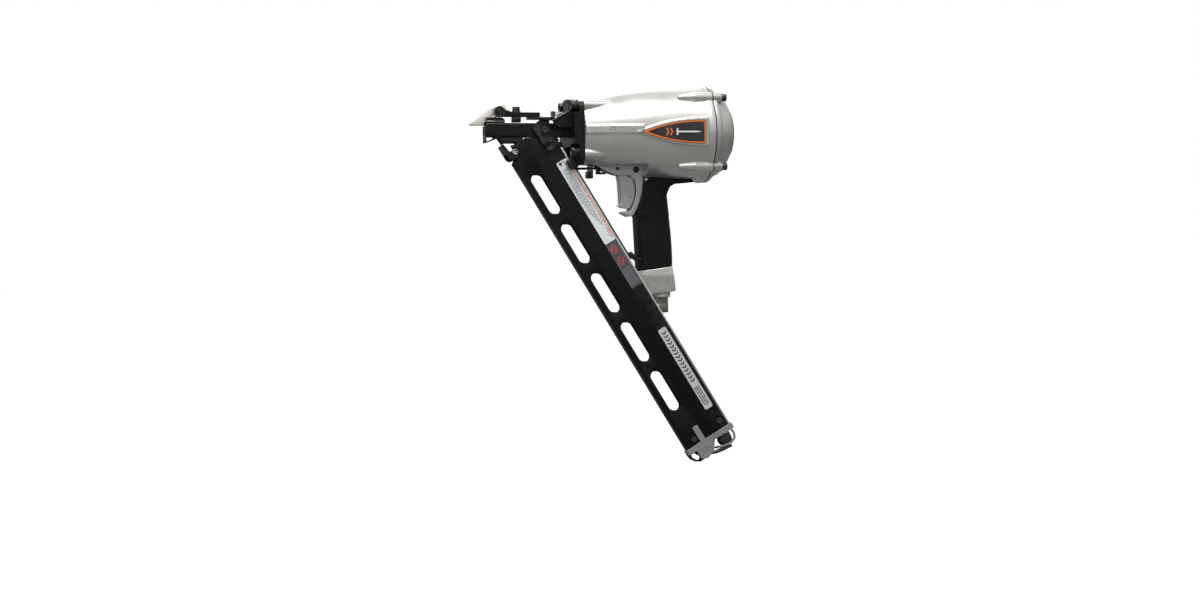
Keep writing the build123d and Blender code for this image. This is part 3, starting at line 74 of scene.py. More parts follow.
class Finish:
    """A procedural material: a Principled shader with helpers that add noise, bump, worn edges and painted
    edge highlights.
    """

    def __init__(self, name, colour, roughness, metallic=0.0, coat=0.0, coat_roughness=0.1, specular=0.5):
        self.material = bpy.data.materials.new(name)
        self.material.use_nodes = True
        self.nodes = self.material.node_tree.nodes
        self.links = self.material.node_tree.links
        self.shader = self.nodes["Principled BSDF"]
        self.colour = (*colour, 1.0)
        self.roughness = roughness
        self.shader.inputs["Base Color"].default_value = self.colour
        self.shader.inputs["Roughness"].default_value = roughness
        self.shader.inputs["Metallic"].default_value = metallic
        self.shader.inputs["Coat Weight"].default_value = coat
        self.shader.inputs["Coat Roughness"].default_value = coat_roughness
        self.shader.inputs["Specular IOR Level"].default_value = specular
        self.place = self.nodes.new("ShaderNodeTexCoord").outputs["Object"]
        self.paint = None
        self.normal = None

    def noise(self, per_metre, detail=3.0, stretch=(1.0, 1.0, 1.0)):
        """Noise in the object's own space; stretch makes streaks."""
        mapping = self.nodes.new("ShaderNodeMapping")
        mapping.inputs["Scale"].default_value = stretch
        texture = self.nodes.new("ShaderNodeTexNoise")
        texture.inputs["Scale"].default_value = per_metre
        texture.inputs["Detail"].default_value = detail
        self.links.new(self.place, mapping.inputs["Vector"])
        self.links.new(mapping.outputs["Vector"], texture.inputs["Vector"])
        return texture.outputs["Fac"]

    def ramp(self, value, low, high, low_value=0.0, high_value=1.0):
        """Value mapped from low..high to low_value..high_value, clamped."""
        node = self.nodes.new("ShaderNodeMapRange")
        for socket, number in zip(RANGE_SOCKETS, (low, high, low_value, high_value)):
            node.inputs[socket].default_value = number
        self.links.new(value, node.inputs["Value"])
        return node.outputs["Result"]

    def multiply(self, one, two):
        """Product of two values."""
        node = self.nodes.new("ShaderNodeMath")
        node.operation = "MULTIPLY"
        self.links.new(one, node.inputs[0])
        self.links.new(two, node.inputs[1])
        return node.outputs["Value"]

    def tint(self, colour, amount):
        """Lays another colour over the paint, as much as amount says."""
        node = self.nodes.new("ShaderNodeMix")
        node.data_type = "RGBA"
        if self.paint is None:
            node.inputs["A"].default_value = self.colour
        else:
            self.links.new(self.paint, node.inputs["A"])
        node.inputs["B"].default_value = (*colour, 1.0)
        self.links.new(amount, node.inputs["Factor"])
        self.paint = node.outputs["Result"]
        self.links.new(self.paint, self.shader.inputs["Base Color"])
        return self

    def vary_roughness(self, value, spread):
        """Roughness that wanders about its middle value."""
        self.links.new(
            self.ramp(value, 0.3, 0.7, max(self.roughness - spread, 0.02), self.roughness + spread),
            self.shader.inputs["Roughness"],
        )
        return self

    def bump(self, value, height_mm, strength=0.5):
        """Surface relief of a given height."""
        node = self.nodes.new("ShaderNodeBump")
        node.inputs["Strength"].default_value = strength
        node.inputs["Distance"].default_value = height_mm * MM
        self.links.new(value, node.inputs["Height"])
        if self.normal is not None:
            self.links.new(self.normal, node.inputs["Normal"])
        self.normal = node.outputs["Normal"]
        self.links.new(self.normal, self.shader.inputs["Normal"])
        return self

    def edge_wear_and_highlight(self, colour, low=0.53, high=0.60, strength=0.6):
        """Lighter colour along sharp edges, broken up by noise: worn paint, and on the black oxide and the
        magazine coat a painted highlight.
        """
        edges = self.nodes.new("ShaderNodeNewGeometry").outputs["Pointiness"]
        bright_edges = self.ramp(edges, low, high, 0.0, strength)
        patches = self.ramp(self.noise(160.0), 0.35, 0.6)
        return self.tint(colour, self.multiply(bright_edges, patches))

    def along(self, direction, start_mm, end_mm):
        """0 before a place along a direction, 1 past it."""
        dot = self.nodes.new("ShaderNodeVectorMath")
        dot.operation = "DOT_PRODUCT"
        dot.inputs[1].default_value = direction
        self.links.new(self.place, dot.inputs[0])
        return self.ramp(dot.outputs["Value"], start_mm * MM, end_mm * MM)


def housing_paint():
    """Silver-white paint on a die-cast shell, with a faint flake and orange peel."""
    finish = Finish("housing_paint", (0.60, 0.585, 0.56), 0.33, metallic=0.75, coat=0.12, coat_roughness=0.25)
    finish.tint((0.53, 0.51, 0.48), finish.ramp(finish.noise(14.0), 0.42, 0.7, 0.0, 0.5))
    finish.tint((0.70, 0.69, 0.67), finish.ramp(finish.noise(2600.0, 1.0), 0.55, 0.75, 0.0, 0.5))
    finish.vary_roughness(finish.noise(60.0), 0.06)
    finish.bump(finish.noise(700.0, 2.0), 0.05, 0.35)
    return finish.bump(finish.noise(1700.0, 2.0), 0.02, 0.3).material


def cap_paint():
    """The same paint in a darker satin grey on the rear cap."""
    finish = Finish("cap_paint", (0.50, 0.49, 0.46), 0.36, metallic=0.75, coat=0.1, coat_roughness=0.3)
    finish.tint((0.38, 0.37, 0.355), finish.ramp(finish.noise(25.0), 0.4, 0.7, 0.0, 0.6))
    finish.vary_roughness(finish.noise(80.0), 0.07)
    return finish.bump(finish.noise(1200.0, 2.0), 0.03, 0.4).material


def deflector_finish():
    """Satin grey of the exhaust deflector."""
    finish = Finish("deflector_finish", (0.10, 0.10, 0.098), 0.45, metallic=0.4)
    finish.tint((0.06, 0.06, 0.058), finish.ramp(finish.noise(40.0), 0.4, 0.7, 0.0, 0.6))
    return finish.bump(finish.noise(1200.0, 2.0), 0.03, 0.4).material


def grip_rubber():
    """Fine-grained black rubber, a little dusty."""
    finish = Finish("grip_rubber", (0.007, 0.007, 0.0075), 0.5, specular=0.12)
    finish.tint((0.014, 0.014, 0.015), finish.ramp(finish.noise(35.0, 5.0), 0.48, 0.75, 0.0, 0.5))
    finish.vary_roughness(finish.noise(120.0), 0.08)
    return finish.bump(finish.noise(2400.0, 2.0), 0.06, 0.5).material


def trigger_paint():
    """Mid-grey satin paint."""
    finish = Finish("trigger_paint", (0.50, 0.50, 0.51), 0.4, metallic=0.55, coat=0.1)
    finish.tint((0.42, 0.42, 0.42), finish.ramp(finish.noise(60.0), 0.4, 0.7, 0.0, 0.5))
    finish.edge_wear_and_highlight((0.68, 0.67, 0.65))
    return finish.bump(finish.noise(1500.0, 2.0), 0.03, 0.4).material


def cast_aluminium():
    """Rough-cast aluminium with a machined band round its top."""
    finish = Finish("cast_aluminium", (0.46, 0.45, 0.43), 0.5, metallic=0.55)
    finish.tint((0.33, 0.32, 0.31), finish.ramp(finish.noise(220.0, 4.0), 0.45, 0.65, 0.0, 0.7))
    finish.vary_roughness(finish.noise(180.0), 0.1)
    grain = finish.ramp(finish.noise(900.0, 4.0), 0.3, 0.7)
    below_band = finish.along((0.0, 0.0, -1.0), -CAST_BAND_EDGE, -CAST_BAND_FOOT)
    finish.tint((0.66, 0.65, 0.62), finish.along((0.0, 0.0, 1.0), CAST_BAND_FOOT, CAST_BAND_EDGE))
    return finish.bump(finish.multiply(grain, below_band), 0.35, 0.7).material


def plain_metal(name, colour, roughness, metallic=1.0, scale=300.0, wear_and_highlight=None):
    """Bare or plated metal with small stains and a fine grain."""
    finish = Finish(name, colour, roughness, metallic=metallic)
    darker = tuple(channel * 0.6 for channel in colour)
    finish.tint(darker, finish.ramp(finish.noise(scale, 4.0), 0.45, 0.7, 0.0, 0.6))
    # optional lighter colour along the sharp edges; on the black oxide it is a painted highlight
    if wear_and_highlight is not None:
        finish.edge_wear_and_highlight(wear_and_highlight)
    finish.vary_roughness(finish.noise(scale * 0.6), 0.09)
    return finish.bump(finish.noise(scale * 6.0, 2.0), 0.03, 0.4).material


def brushed_steel():
    """Rail steel, brushed along the magazine."""
    finish = Finish("brushed_steel", (0.62, 0.61, 0.58), 0.3, metallic=1.0)
    streaks = finish.noise(900.0, 2.0, (0.04, 1.0, 0.04))
    finish.tint((0.42, 0.41, 0.39), finish.ramp(streaks, 0.4, 0.7, 0.0, 0.6))
    finish.vary_roughness(streaks, 0.08)
    return finish.bump(streaks, 0.02, 0.4).material


def nickel_probe():
    """Nickel-plated probe whose tip has taken a straw colour."""
    finish = Finish("nickel_probe", (0.80, 0.78, 0.72), 0.36, metallic=0.6)
    tip = finish.along((-1.0, 0.0, 0.0), 8.0, 24.0)
    finish.tint((0.66, 0.58, 0.40), tip)
    finish.tint((0.60, 0.57, 0.50), finish.ramp(finish.noise(90.0, 3.0), 0.45, 0.75, 0.0, 0.5))
    return finish.bump(finish.noise(900.0, 2.0), 0.03, 0.4).material


def magazine_coat():
    """Semi-gloss black coating, scuffed a little, with a painted highlight along its edges."""
    finish = Finish("magazine_coat", (0.0055, 0.0052, 0.005), 0.28, specular=0.12)
    finish.tint((0.010, 0.0095, 0.0095), finish.ramp(finish.noise(22.0, 5.0), 0.5, 0.8, 0.0, 0.6))
    # lighter colour along the sharp edges: a painted highlight on the black coat
    finish.edge_wear_and_highlight((0.16, 0.155, 0.15), 0.55, 0.64, 0.4)
    finish.vary_roughness(finish.noise(70.0, 4.0), 0.08)
    return finish.bump(finish.noise(1500.0, 2.0), 0.03, 0.35).material


def moulding(name, colour, roughness):
    """Moulded plastic or rubber with a fine spark-eroded grain."""
    finish = Finish(name, colour, roughness, specular=0.4)
    darker = tuple(channel * 0.7 for channel in colour)
    finish.tint(darker, finish.ramp(finish.noise(90.0, 3.0), 0.45, 0.75, 0.0, 0.6))
    finish.vary_roughness(finish.noise(110.0), 0.06)
    return finish.bump(finish.noise(1800.0, 2.0), 0.04, 0.4).material


def print_film(name, colour, roughness=0.35, metallic=0.0):
    """Printed film: even colour, slight fading and a faint ripple."""
    finish = Finish(name, colour, roughness, metallic=metallic, coat=0.3, coat_roughness=0.15)
    faded = tuple(0.85 * channel + 0.05 for channel in colour)
    finish.tint(faded, finish.ramp(finish.noise(60.0, 4.0), 0.45, 0.7, 0.0, 0.5))
    return finish.bump(finish.noise(240.0, 1.0), 0.03, 0.3).material


# black oxide: the lighter colour along its sharp edges is a painted highlight
OXIDE = plain_metal("black_oxide", (0.027, 0.026, 0.025), 0.32, 0.85, 260.0, (0.20, 0.19, 0.18))
SCREW = plain_metal("screw_oxide", (0.055, 0.049, 0.044), 0.32, 0.9, 400.0, (0.30, 0.27, 0.24))
STEEL = plain_metal("spring_steel", (0.55, 0.54, 0.52), 0.28)
FITTING = plain_metal("zinc_fitting", (0.22, 0.215, 0.20), 0.38, 0.9, 240.0, (0.42, 0.40, 0.36))
ALUMINIUM = cast_aluminium()
PAINT = housing_paint()
CAP_PAINT = cap_paint()
DEFLECTOR = deflector_finish()
GRIP = grip_rubber()
TRIGGER_PAINT = trigger_paint()
RAIL = brushed_steel()
NICKEL = nickel_probe()
MAGAZINE_COAT = magazine_coat()
END_GREY = moulding("end_grey_nylon", (0.20, 0.205, 0.205), 0.5)
BLACK_PLASTIC = moulding("black_nylon", (0.012, 0.012, 0.012), 0.4)
SEAL = moulding("seal_rubber", (0.016, 0.016, 0.016), 0.5)
URETHANE = moulding("urethane", (0.35, 0.16, 0.04), 0.35)
ACETAL = moulding("acetal", (0.62, 0.60, 0.53), 0.35)
PLATE_BLACK = print_film("plate_black", (0.012, 0.012, 0.012))
PRINT_ORANGE = print_film("print_orange", (0.75, 0.16, 0.02))
PRINT_WHITE = print_film("print_white", (0.78, 0.78, 0.76))
PRINT_GREY = print_film("print_grey", (0.16, 0.17, 0.185))
PRINT_RED = print_film("print_red", (0.55, 0.03, 0.04))
PRINT_DARK = print_film("print_dark", (0.012, 0.012, 0.013))
PRINT_DARK_GREY = print_film("print_dark_grey", (0.045, 0.047, 0.052))
LABEL_WHITE = print_film("label_white", (0.66, 0.70, 0.72))
LABEL_SILVER = print_film("label_silver", (0.52, 0.53, 0.53), 0.35, 0.3)

FINISHES = {
    PAINT: ["housing"],
    CAP_PAINT: ["cylinder_cap", "deflector_screw"],
    DEFLECTOR: ["exhaust_deflector"],
    GRIP: ["grip_sleeve"],
    TRIGGER_PAINT: ["trigger", "trigger_bracket"],
    ALUMINIUM: ["handle_end_cap", "cylinder_sleeve", "piston"],
    FITTING: ["air_fitting"],
    OXIDE: [
        "nose_casting", "nose_toe", "probe_guides", "contact_bar", "contact_linkage", "adjuster_spacer",
        "linkage_guide", "nose_latch", "handle_strut", "follower", "contact_lever",
    ],
    SCREW: [
        "cap_screws", "screw_washers", "nose_screws", "trigger_pins", "lever_pin", "probe_pivot_screw",
        "adjuster_screw", "adjuster_washer", "magazine_screws",
    ],
    STEEL: [
        "driver_blade", "head_valve_spring", "inlet_filter", "valve_stem", "valve_spring", "contact_spring",
        "latch_pins", "latch_spring", "follower_spring",
    ],
    RAIL: ["magazine_rear_rail"],
    NICKEL: ["probe"],
    MAGAZINE_COAT: ["magazine_plate_near", "magazine_plate_far", "magazine_front_rail", "nose_brackets"],
    END_GREY: ["magazine_end_cap"],
    BLACK_PLASTIC: ["magazine_rail_cover", "follower_tab", "hanger_tab", "end_foot", "end_bumpers"],
    SEAL: ["cap_gasket", "sleeve_seals", "piston_ring"],
    URETHANE: ["bumper"],
    ACETAL: ["head_valve", "valve_body"],
    PLATE_BLACK: ["nameplates"],
    LABEL_WHITE: ["magazine_labels"],
}
FINISH_OF = {node: finish for finish, nodes in FINISHES.items() for node in nodes}


# ---------------------------------------------------------------------------------------
# Refined meshes: the CAD shapes with the edges and blends that the real pieces have
# ---------------------------------------------------------------------------------------

WELD_DISTANCE = 0.002 * MM
SLIVER_LENGTH = 0.001 * MM
BEVEL_FROM_ANGLE = 32.0


def copy_of(node):
    """A welded copy of a CAD node's mesh as a new object."""
    mesh = frame["nodes"][node].data.copy()
    work = bmesh.new()
    work.from_mesh(mesh)
    bmesh.ops.remove_doubles(work, verts=work.verts, dist=WELD_DISTANCE)
    bmesh.ops.dissolve_degenerate(work, edges=work.edges, dist=SLIVER_LENGTH)
    work.to_mesh(mesh)
    work.free()
    mesh.materials.clear()
    mesh.materials.append(FINISH_OF[node])
    piece = bpy.data.objects.new(node + "_fine", mesh)
    bpy.context.scene.collection.objects.link(piece)
    return piece


def apply_modifiers(piece):
    """Bakes the modifiers into the piece's mesh."""
    graph = bpy.context.evaluated_depsgraph_get()
    mesh = bpy.data.meshes.new_from_object(piece.evaluated_get(graph))
    piece.modifiers.clear()
    piece.data = mesh


def stand_for(piece, node):
    """The piece takes a CAD node's place and body."""
    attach(piece, BODY_OF[node])
    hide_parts(node)


def smooth_shading(piece, angle=35.0):
    """Smooth shading that keeps edges sharper than the angle."""
    piece.data.polygons.foreach_set("use_smooth", [True] * len(piece.data.polygons))
    piece.data.set_sharp_from_angle(angle=math.radians(angle))


def bevelled(node, width_mm, segments=2):
    """Machined or pressed piece: every sharp edge gets a small round."""
    piece = copy_of(node)
    bevel = piece.modifiers.new("round", "BEVEL")
    bevel.width = width_mm * MM
    bevel.segments = segments
    bevel.limit_method = "ANGLE"
    bevel.angle_limit = math.radians(BEVEL_FROM_ANGLE)
    bevel.use_clamp_overlap = True
    bevel.harden_normals = False
    apply_modifiers(piece)
    smooth_shading(piece, 40.0)
    stand_for(piece, node)
    return piece


def cast(node, voxel_mm, passes):
    """Cast or moulded piece: remeshed, then relaxed so that edges round off and corners fill in."""
    piece = copy_of(node)
    remesh = piece.modifiers.new("skin", "REMESH")
    remesh.mode = "VOXEL"
    remesh.voxel_size = voxel_mm * MM
    relax = piece.modifiers.new("relax", "SMOOTH")
    relax.factor = 0.5
    relax.iterations = passes
    apply_modifiers(piece)
    smooth_shading(piece, 60.0)
    stand_for(piece, node)
    return piece


# node, voxel size in millimetres, relaxing passes
CAST_PIECES = [
    ("housing", 0.85, 4),
    ("cylinder_cap", 0.85, 4),
    ("grip_sleeve", 0.8, 16),
    ("handle_end_cap", 0.7, 6),
    ("nose_casting", 0.5, 4),
    ("trigger_bracket", 0.45, 6),
    ("trigger", 0.4, 6),
    ("magazine_end_cap", 0.5, 5),
    ("nose_latch", 0.4, 5),
    ("contact_bar", 0.4, 4),
    ("exhaust_deflector", 0.6, 3),
    ("hanger_tab", 0.35, 4),
    ("follower_tab", 0.35, 4),
    ("end_foot", 0.35, 3),
]
# node, width of the rounded edge in millimetres
BEVELLED_PIECES = [
    ("cap_screws", 0.25), ("nose_screws", 0.35), ("screw_washers", 0.25), ("deflector_screw", 0.3),
    ("adjuster_screw", 0.3), ("adjuster_washer", 0.2), ("adjuster_spacer", 0.3),
    ("probe_pivot_screw", 0.35), ("trigger_pins", 0.3), ("air_fitting", 0.3), ("magazine_screws", 0.3),
    ("nose_brackets", 0.4), ("magazine_plate_near", 0.3), ("magazine_plate_far", 0.3),
    ("magazine_rear_rail", 0.3), ("magazine_front_rail", 0.4), ("magazine_rail_cover", 0.8),
    ("contact_linkage", 0.4), ("linkage_guide", 0.4), ("nose_toe", 0.3), ("probe_guides", 0.4),
    ("handle_strut", 0.4), ("follower", 0.4), ("end_bumpers", 0.6), ("nameplates", 0.15),
    ("probe", 0.35),
]
for node, voxel, passes in CAST_PIECES:
    cast(node, voxel, passes)
for node, width in BEVELLED_PIECES:
    bevelled(node, width)
refined = {node for node, *_ in CAST_PIECES} | {node for node, _ in BEVELLED_PIECES}
for node, finish in FINISH_OF.items():
    if node not in refined:
        frame["nodes"][node].data.materials.clear()
        frame["nodes"][node].data.materials.append(finish)


# ---------------------------------------------------------------------------------------
# Prints: films and marks that lie on the magazine and on the housing pads
# ---------------------------------------------------------------------------------------

JOINTS = {joint["name"]: joint for joint in frame["record"]["behaviour"]["joints"]}
ALONG = Vector(JOINTS["follower_feed"]["axis"]).normalized()
OUTWARD = Vector(JOINTS["nose_latch_swing"]["axis"]).normalized()
ACROSS = OUTWARD.cross(ALONG)
BACKWARD = Vector((1.0, 0.0, 0.0))
UPWARD = Vector((0.0, 0.0, 1.0))
NEARWARD = Vector((0.0, -1.0, 0.0))
MAGAZINE_FACE = 9.4
FILM = 0.25
INK = 0.04
SHORTEST_BAR, BAR_GAP, LEAST_REST = 1.6, 0.9, 1.5
draws = random.Random(7)


class Sheet:
    """A flat place for prints: an origin in millimetres and three directions."""

    def __init__(self, origin, u_dir, v_dir, out_dir):
        self.origin, self.u_dir, self.v_dir, self.out_dir = Vector(origin), u_dir, v_dir, out_dir

    def point(self, u, v, height):
        """Place in metres of a point on the sheet, raised by height."""
        return (self.origin + self.u_dir * u + self.v_dir * v + self.out_dir * height) * MM


MAGAZINE_SHEET = Sheet((0, 0, 0), ALONG, ACROSS, OUTWARD)


def flat_piece(name, finish, sheet, outlines, level, thickness, body="frame"):
    """One object made of thin closed slabs, one for each outline on the sheet."""
    work = bmesh.new()
    for outline in outlines:
        low = [work.verts.new(sheet.point(u, v, level)) for u, v in outline]
        high = [work.verts.new(sheet.point(u, v, level + thickness)) for u, v in outline]
        work.faces.new(low[::-1])
        work.faces.new(high)
        count = len(outline)
        for index in range(count):
            after = (index + 1) % count
            work.faces.new((low[index], low[after], high[after], high[index]))
    bmesh.ops.recalc_face_normals(work, faces=work.faces)
    mesh = bpy.data.meshes.new(name)
    work.to_mesh(mesh)
    work.free()
    mesh.materials.append(finish)
    piece = bpy.data.objects.new(name, mesh)
    bpy.context.scene.collection.objects.link(piece)
    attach(piece, body)
    return piece


def rounded(u_from, u_to, v_from, v_to, radius=0.0, steps=5):
    """Rectangle outline with rounded corners."""
    if radius <= 0:
        return [(u_from, v_from), (u_to, v_from), (u_to, v_to), (u_from, v_to)]
    corners = [
        (u_to - radius, v_from + radius, -90), (u_to - radius, v_to - radius, 0),
        (u_from + radius, v_to - radius, 90), (u_from + radius, v_from + radius, 180),
    ]
    points = []
    for u, v, start in corners:
        for step in range(steps + 1):
            angle = math.radians(start + 90.0 * step / steps)
            points.append((u + radius * math.cos(angle), v + radius * math.sin(angle)))
    return points


def word_bars(u_from, u_to, v, height, longest=6.0):
    """A line of plain bars with gaps, as long as a line of small print."""
    bars = []
    u = u_from
    while u < u_to - LEAST_REST:
        length = min(draws.uniform(SHORTEST_BAR, longest), u_to - u)
        bars.append(rounded(u, u + length, v, v + height))
        u += length + BAR_GAP
    return bars


def chevron(u, mid, half, stroke, lean):
    """Outline of a bent stroke that points along the sheet."""
    return [
        (u, mid - half), (u + stroke, mid - half), (u + stroke + lean, mid),
        (u + stroke, mid + half), (u, mid + half), (u + lean, mid),
    ]


def label_film(name, finish, extent, radius):
    """Printed film on the raised face of the magazine."""
    outline = rounded(*extent, radius)
    return flat_piece(name, finish, MAGAZINE_SHEET, [outline], MAGAZINE_FACE, FILM)


WARNING_EXTENT = (85.0, 212.2, 60.6, 77.6)
NOTICE_EXTENT = (212.7, 281.0, 60.6, 77.6)
BADGE_EXTENT = (347.0, 472.0, 60.8, 73.2)
INK_LEVEL = MAGAZINE_FACE + FILM

warning = label_film("warning_film", LABEL_WHITE, WARNING_EXTENT, 1.4)
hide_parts("magazine_labels")
label_film("notice_film", PRINT_DARK_GREY, NOTICE_EXTENT, 0.8)
label_film("badge_film", LABEL_SILVER, BADGE_EXTENT, 2.6)

# white film: a plain triangle, rows of grey bars with ragged ends, and an orange row along the rear edge
ROW_START, TOP_ROW, ROW_PITCH = 97.0, 72.2, 1.55
ROW_ENDS = [188.0, 186.0, 180.0, 178.0, 172.0, 168.0, 150.0]
grey_rows = []
for index, row_end in enumerate(ROW_ENDS):
    grey_rows += word_bars(ROW_START, row_end, TOP_ROW - ROW_PITCH * index, 0.8, 5.0)
flat_piece("warning_rows", PRINT_GREY, MAGAZINE_SHEET, grey_rows, INK_LEVEL, INK)
orange_row = word_bars(104.0, 208.0, 75.0, 1.7, 9.0)
flat_piece("warning_stripe", PRINT_ORANGE, MAGAZINE_SHEET, orange_row, INK_LEVEL, INK)
triangle = [(86.8, 62.4), (92.6, 65.6), (86.8, 68.8)]
dark_marks = [triangle] + word_bars(190.0, 208.0, 73.2, 0.6, 4.0) + word_bars(87.0, 95.0, 70.6, 1.2, 3.0)
flat_piece("warning_mark", PRINT_DARK, MAGAZINE_SHEET, dark_marks, INK_LEVEL, INK)

# dark film: two clusters of red blocks and some faint rows
CLUSTER_STARTS, CLUSTER_FOOT = (217.0, 235.0), 62.8
BLOCK_LENGTH, BLOCK_HEIGHT, BLOCK_GAP, BLOCK_CORNER = 2.5, 1.9, 0.8, 0.5
red_blocks = []
for cluster_start in CLUSTER_STARTS:
    for column in range(4):
        for row in range(4):
            if (column + row) % 3 != 0:
                u = cluster_start + (BLOCK_LENGTH + BLOCK_GAP) * column
                v = CLUSTER_FOOT + (BLOCK_HEIGHT + BLOCK_GAP) * row
                red_blocks.append(rounded(u, u + BLOCK_LENGTH, v, v + BLOCK_HEIGHT, BLOCK_CORNER, 2))
flat_piece("notice_blocks", PRINT_RED, MAGAZINE_SHEET, red_blocks, INK_LEVEL, INK)
faint_rows = []
for index in range(6):
    faint_rows += word_bars(252.0, 277.0, 62.4 + 2.2 * index, 0.8, 6.0)
faint_rows.append(rounded(213.6, 280.2, 61.2, 61.5))
faint_rows.append(rounded(213.6, 280.2, 76.7, 77.0))
flat_piece("notice_rows", PRINT_GREY, MAGAZINE_SHEET, faint_rows, INK_LEVEL, INK)

# silver film: a run of chevrons and three short rows
CHEVRON_COUNT, CHEVRON_START, CHEVRON_PITCH = 15, 352.0, 5.3
chevrons = []
for index in range(CHEVRON_COUNT):
    chevrons.append(chevron(CHEVRON_START + CHEVRON_PITCH * index, 67.0, 3.6, 2.2, 2.4))
badge_rows = []
for index in range(3):
    badge_rows += word_bars(438.0, 467.0, 62.9 + 3.0 * index, 1.5, 7.0)
flat_piece("badge_marks", PRINT_DARK, MAGAZINE_SHEET, chevrons + badge_rows, INK_LEVEL, INK)

# shield plates on the housing pads
PLATE_TIP, PLATE_END = (205.0, 61.0), (297.0, 68.2)
PLATE_MID_Z = -0.6
PLATE_START, PLATE_LENGTH, PLATE_HALF = -4.0, 89.0, 16.0
PLATE_TOP = 0.6
SHIELD_POWER = 2.3
DART_STARTS = (29.0, 34.4)
NAIL_TIP = (78.5, 0.0)
NAIL_LOWER_SIDE = [(44.0, -4.6), (46.2, -4.6), (46.2, -1.0), (73.0, -1.0)]


def shield(inset_tip, inset_end, inset_side, steps=14):
    """Outline of the shield shape, drawn in from the plate's edge."""
    length = PLATE_LENGTH - inset_tip - inset_end
    half = PLATE_HALF - inset_side
    upper = []
    for step in range(steps + 1):
        share = step / steps
        height = half * (1.0 - (1.0 - share) ** SHIELD_POWER)
        upper.append((PLATE_START + inset_tip + length * share, height))
    return upper + [(u, -v) for u, v in upper[:0:-1]]


def nameplate_prints(side_name, side):
    """Orange-edged black shield with a plain nail pictogram on one side pad."""
    along = Vector((PLATE_END[0] - PLATE_TIP[0], side * (PLATE_END[1] - PLATE_TIP[1]), 0.0)).normalized()
    out = Vector((-side * along.y, side * along.x, 0.0))
    sheet = Sheet((PLATE_TIP[0], side * PLATE_TIP[1], PLATE_MID_Z), along, UPWARD, out)
    nail = NAIL_LOWER_SIDE + [NAIL_TIP] + [(u, -v) for u, v in NAIL_LOWER_SIDE[::-1]]
    darts = [chevron(u, 0.0, 5.0, 2.0, 3.0) for u in DART_STARTS]
    layers = [
        ("shield_edge_", PRINT_ORANGE, [shield(1.5, 0.8, 0.8)], 0),
        ("shield_field_", PRINT_DARK, [shield(8.0, 2.6, 2.6)], 1),
        ("shield_nail_", PRINT_WHITE, [nail], 2),
        ("shield_darts_", PRINT_ORANGE, darts, 2),
    ]
    for name, finish, outlines, layer in layers:
        level = PLATE_TOP + INK * layer
        flat_piece(name + side_name, finish, sheet, outlines, level, INK)


nameplate_prints("near", -1.0)
nameplate_prints("far", 1.0)


def disc(u, v, radius, steps=14):
    """Outline of a round mark."""
    turns = [2.0 * math.pi * step / steps for step in range(steps)]
    return [(u + radius * math.cos(turn), v + radius * math.sin(turn)) for turn in turns]


def side_sheet(level_y):
    """Upright sheet parallel to the driver axis; u runs back and v up."""
    return Sheet((0.0, level_y, 0.0), BACKWARD, UPWARD, NEARWARD)


# small mark of three bars on the near spine band
BAND_START, BAND_END = (129.0, 44.6), (205.0, 61.2)
BAND_MID_Z = 2.9
band_along = Vector((BAND_END[0] - BAND_START[0], BAND_START[1] - BAND_END[1], 0.0)).normalized()
band_out = Vector((band_along.y, -band_along.x, 0.0))
band_sheet = Sheet((BAND_START[0], -BAND_START[1], BAND_MID_Z), band_along, UPWARD, band_out)
MARK_START, MARK_END = 33.0, 39.0
MARK_FOOT, MARK_TOP, MARK_STROKE = -1.6, 2.6, 0.8
mark_bars = [
    rounded(MARK_START, MARK_END, MARK_TOP, MARK_TOP + MARK_STROKE),
    rounded(MARK_START, MARK_START + MARK_STROKE, MARK_FOOT, MARK_TOP),
    rounded(MARK_END - MARK_STROKE, MARK_END, MARK_FOOT, MARK_TOP),
]
flat_piece("band_mark", PRINT_GREY, band_sheet, mark_bars, -0.1, 0.3)

# small pin ends that show on the trigger and on its bracket
TRIGGER_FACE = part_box("trigger")[0][1] / MM
BRACKET_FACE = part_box("trigger_bracket")[0][1] / MM
PIN_SINK, PIN_HEIGHT = -0.3, 0.45
trigger_face = side_sheet(TRIGGER_FACE)
trigger_marks = [disc(196.6, -64.7, 1.0), disc(200.9, -85.8, 1.1)]
flat_piece("trigger_pin_ends", SCREW, trigger_face, trigger_marks, PIN_SINK, PIN_HEIGHT, "trigger")
bracket_face = side_sheet(BRACKET_FACE)
bracket_marks = [disc(223.0, -57.5, 1.2)]
flat_piece("bracket_pin_end", SCREW, bracket_face, bracket_marks, PIN_SINK, PIN_HEIGHT)


# ---------------------------------------------------------------------------------------
# Studio
# ---------------------------------------------------------------------------------------

AZIMUTH = math.radians(-17.0)
ROLL = math.radians(0.66)
DISTANCE = 3.5
TARGET = Vector((0.16207, 0.0, -0.18784))
LENS = 77.78
SHIFT = (-0.00167, -0.0229)
FLOOR_GLOW = 0.88
FLOOR_HALF = 40.0
SKY_LOW, SKY_HIGH = 0.04, 0.80
SKY_LOW_HEIGHT, SKY_HIGH_HEIGHT = -0.05, 0.22


def studio_camera():
    """Camera that looks level at the labelled side from a little in front."""
    back = Vector((math.sin(AZIMUTH), -math.cos(AZIMUTH), 0.0))
    level = Vector((math.cos(AZIMUTH), math.sin(AZIMUTH), 0.0))
    upright = Vector((0.0, 0.0, 1.0))
    right = level * math.cos(ROLL) - upright * math.sin(ROLL)
    above = level * math.sin(ROLL) + upright * math.cos(ROLL)
    lens = bpy.data.cameras.new("camera")
    lens.lens = LENS
    lens.sensor_width = 36.0
    lens.shift_x, lens.shift_y = SHIFT
    lens.clip_end = 50.0
    camera = bpy.data.objects.new("camera", lens)
    turn = Matrix((right, above, back)).transposed().to_4x4()
    camera.matrix_world = Matrix.Translation(TARGET + back * DISTANCE) @ turn
    bpy.context.scene.collection.objects.link(camera)
    bpy.context.scene.camera = camera


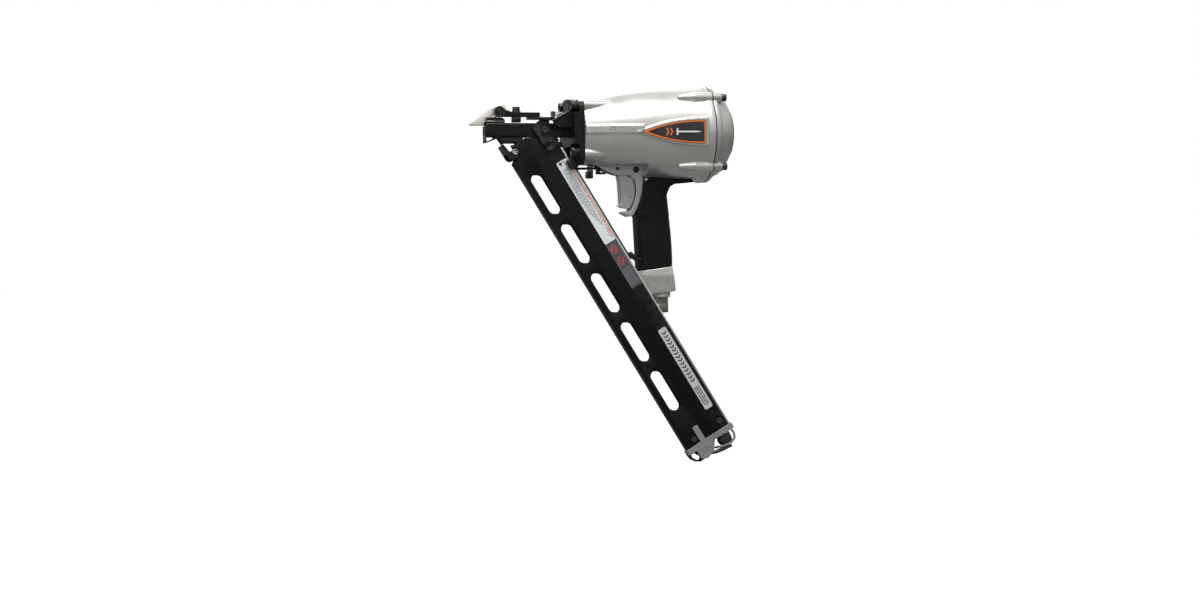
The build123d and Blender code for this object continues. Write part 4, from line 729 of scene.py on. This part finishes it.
def area_light(name, place, size, watts, aim=TARGET):
    """Square soft light that faces the object."""
    light = bpy.data.lights.new(name, "AREA")
    light.size = size
    light.energy = watts
    lamp = bpy.data.objects.new(name, light)
    lamp.location = place
    lamp.rotation_euler = (aim - Vector(place)).to_track_quat("-Z", "Y").to_euler()
    bpy.context.scene.collection.objects.link(lamp)


def studio_floor():
    """Pale floor that stays bright enough to run into the white surround."""
    finish = Finish("floor_white", (0.20, 0.20, 0.20), 0.9, specular=0.0)
    finish.tint((0.19, 0.19, 0.19), finish.ramp(finish.noise(3.0), 0.4, 0.7, 0.0, 0.5))
    seen = finish.nodes.new("ShaderNodeLightPath").outputs["Is Camera Ray"]
    finish.shader.inputs["Emission Color"].default_value = (1.0, 1.0, 1.0, 1.0)
    glow = finish.ramp(seen, 0.0, 1.0, 0.0, FLOOR_GLOW)
    finish.links.new(glow, finish.shader.inputs["Emission Strength"])
    mesh = bpy.data.meshes.new("floor")
    work = bmesh.new()
    bmesh.ops.create_grid(work, x_segments=1, y_segments=1, size=FLOOR_HALF)
    work.to_mesh(mesh)
    work.free()
    mesh.materials.append(finish.material)
    floor = bpy.data.objects.new("floor", mesh)
    floor.location = (0.0, 0.0, CAD_BOX[0][2] - MM)
    bpy.context.scene.collection.objects.link(floor)


def white_surround():
    """White surround that lights the object more from above than from below."""
    world = bpy.data.worlds.new("surround")
    world.use_nodes = True
    nodes, links = world.node_tree.nodes, world.node_tree.links
    height = nodes.new("ShaderNodeSeparateXYZ")
    links.new(nodes.new("ShaderNodeTexCoord").outputs["Generated"], height.inputs["Vector"])
    light = nodes.new("ShaderNodeMapRange")
    span = (SKY_LOW_HEIGHT, SKY_HIGH_HEIGHT, SKY_LOW, SKY_HIGH)
    for socket, number in zip(RANGE_SOCKETS, span):
        light.inputs[socket].default_value = number
    links.new(height.outputs["Z"], light.inputs["Value"])
    strength = nodes.new("ShaderNodeMix")
    strength.inputs["B"].default_value = 1.0
    links.new(light.outputs["Result"], strength.inputs["A"])
    links.new(nodes.new("ShaderNodeLightPath").outputs["Is Camera Ray"], strength.inputs["Factor"])
    background = nodes["Background"]
    background.inputs["Color"].default_value = (1.0, 1.0, 1.0, 1.0)
    links.new(strength.outputs["Result"], background.inputs["Strength"])
    bpy.context.scene.world = world


studio_camera()
studio_floor()
white_surround()
area_light("key", place=(0.0, -1.2, 2.4), size=1.2, watts=60.0)
area_light("fill", place=(-1.8, -2.0, 0.4), size=1.2, watts=6.5)
area_light("back", place=(0.8, 2.2, 1.4), size=1.2, watts=20.0)
bpy.context.scene.view_settings.view_transform = "Standard"

bpy.context.view_layer.update()
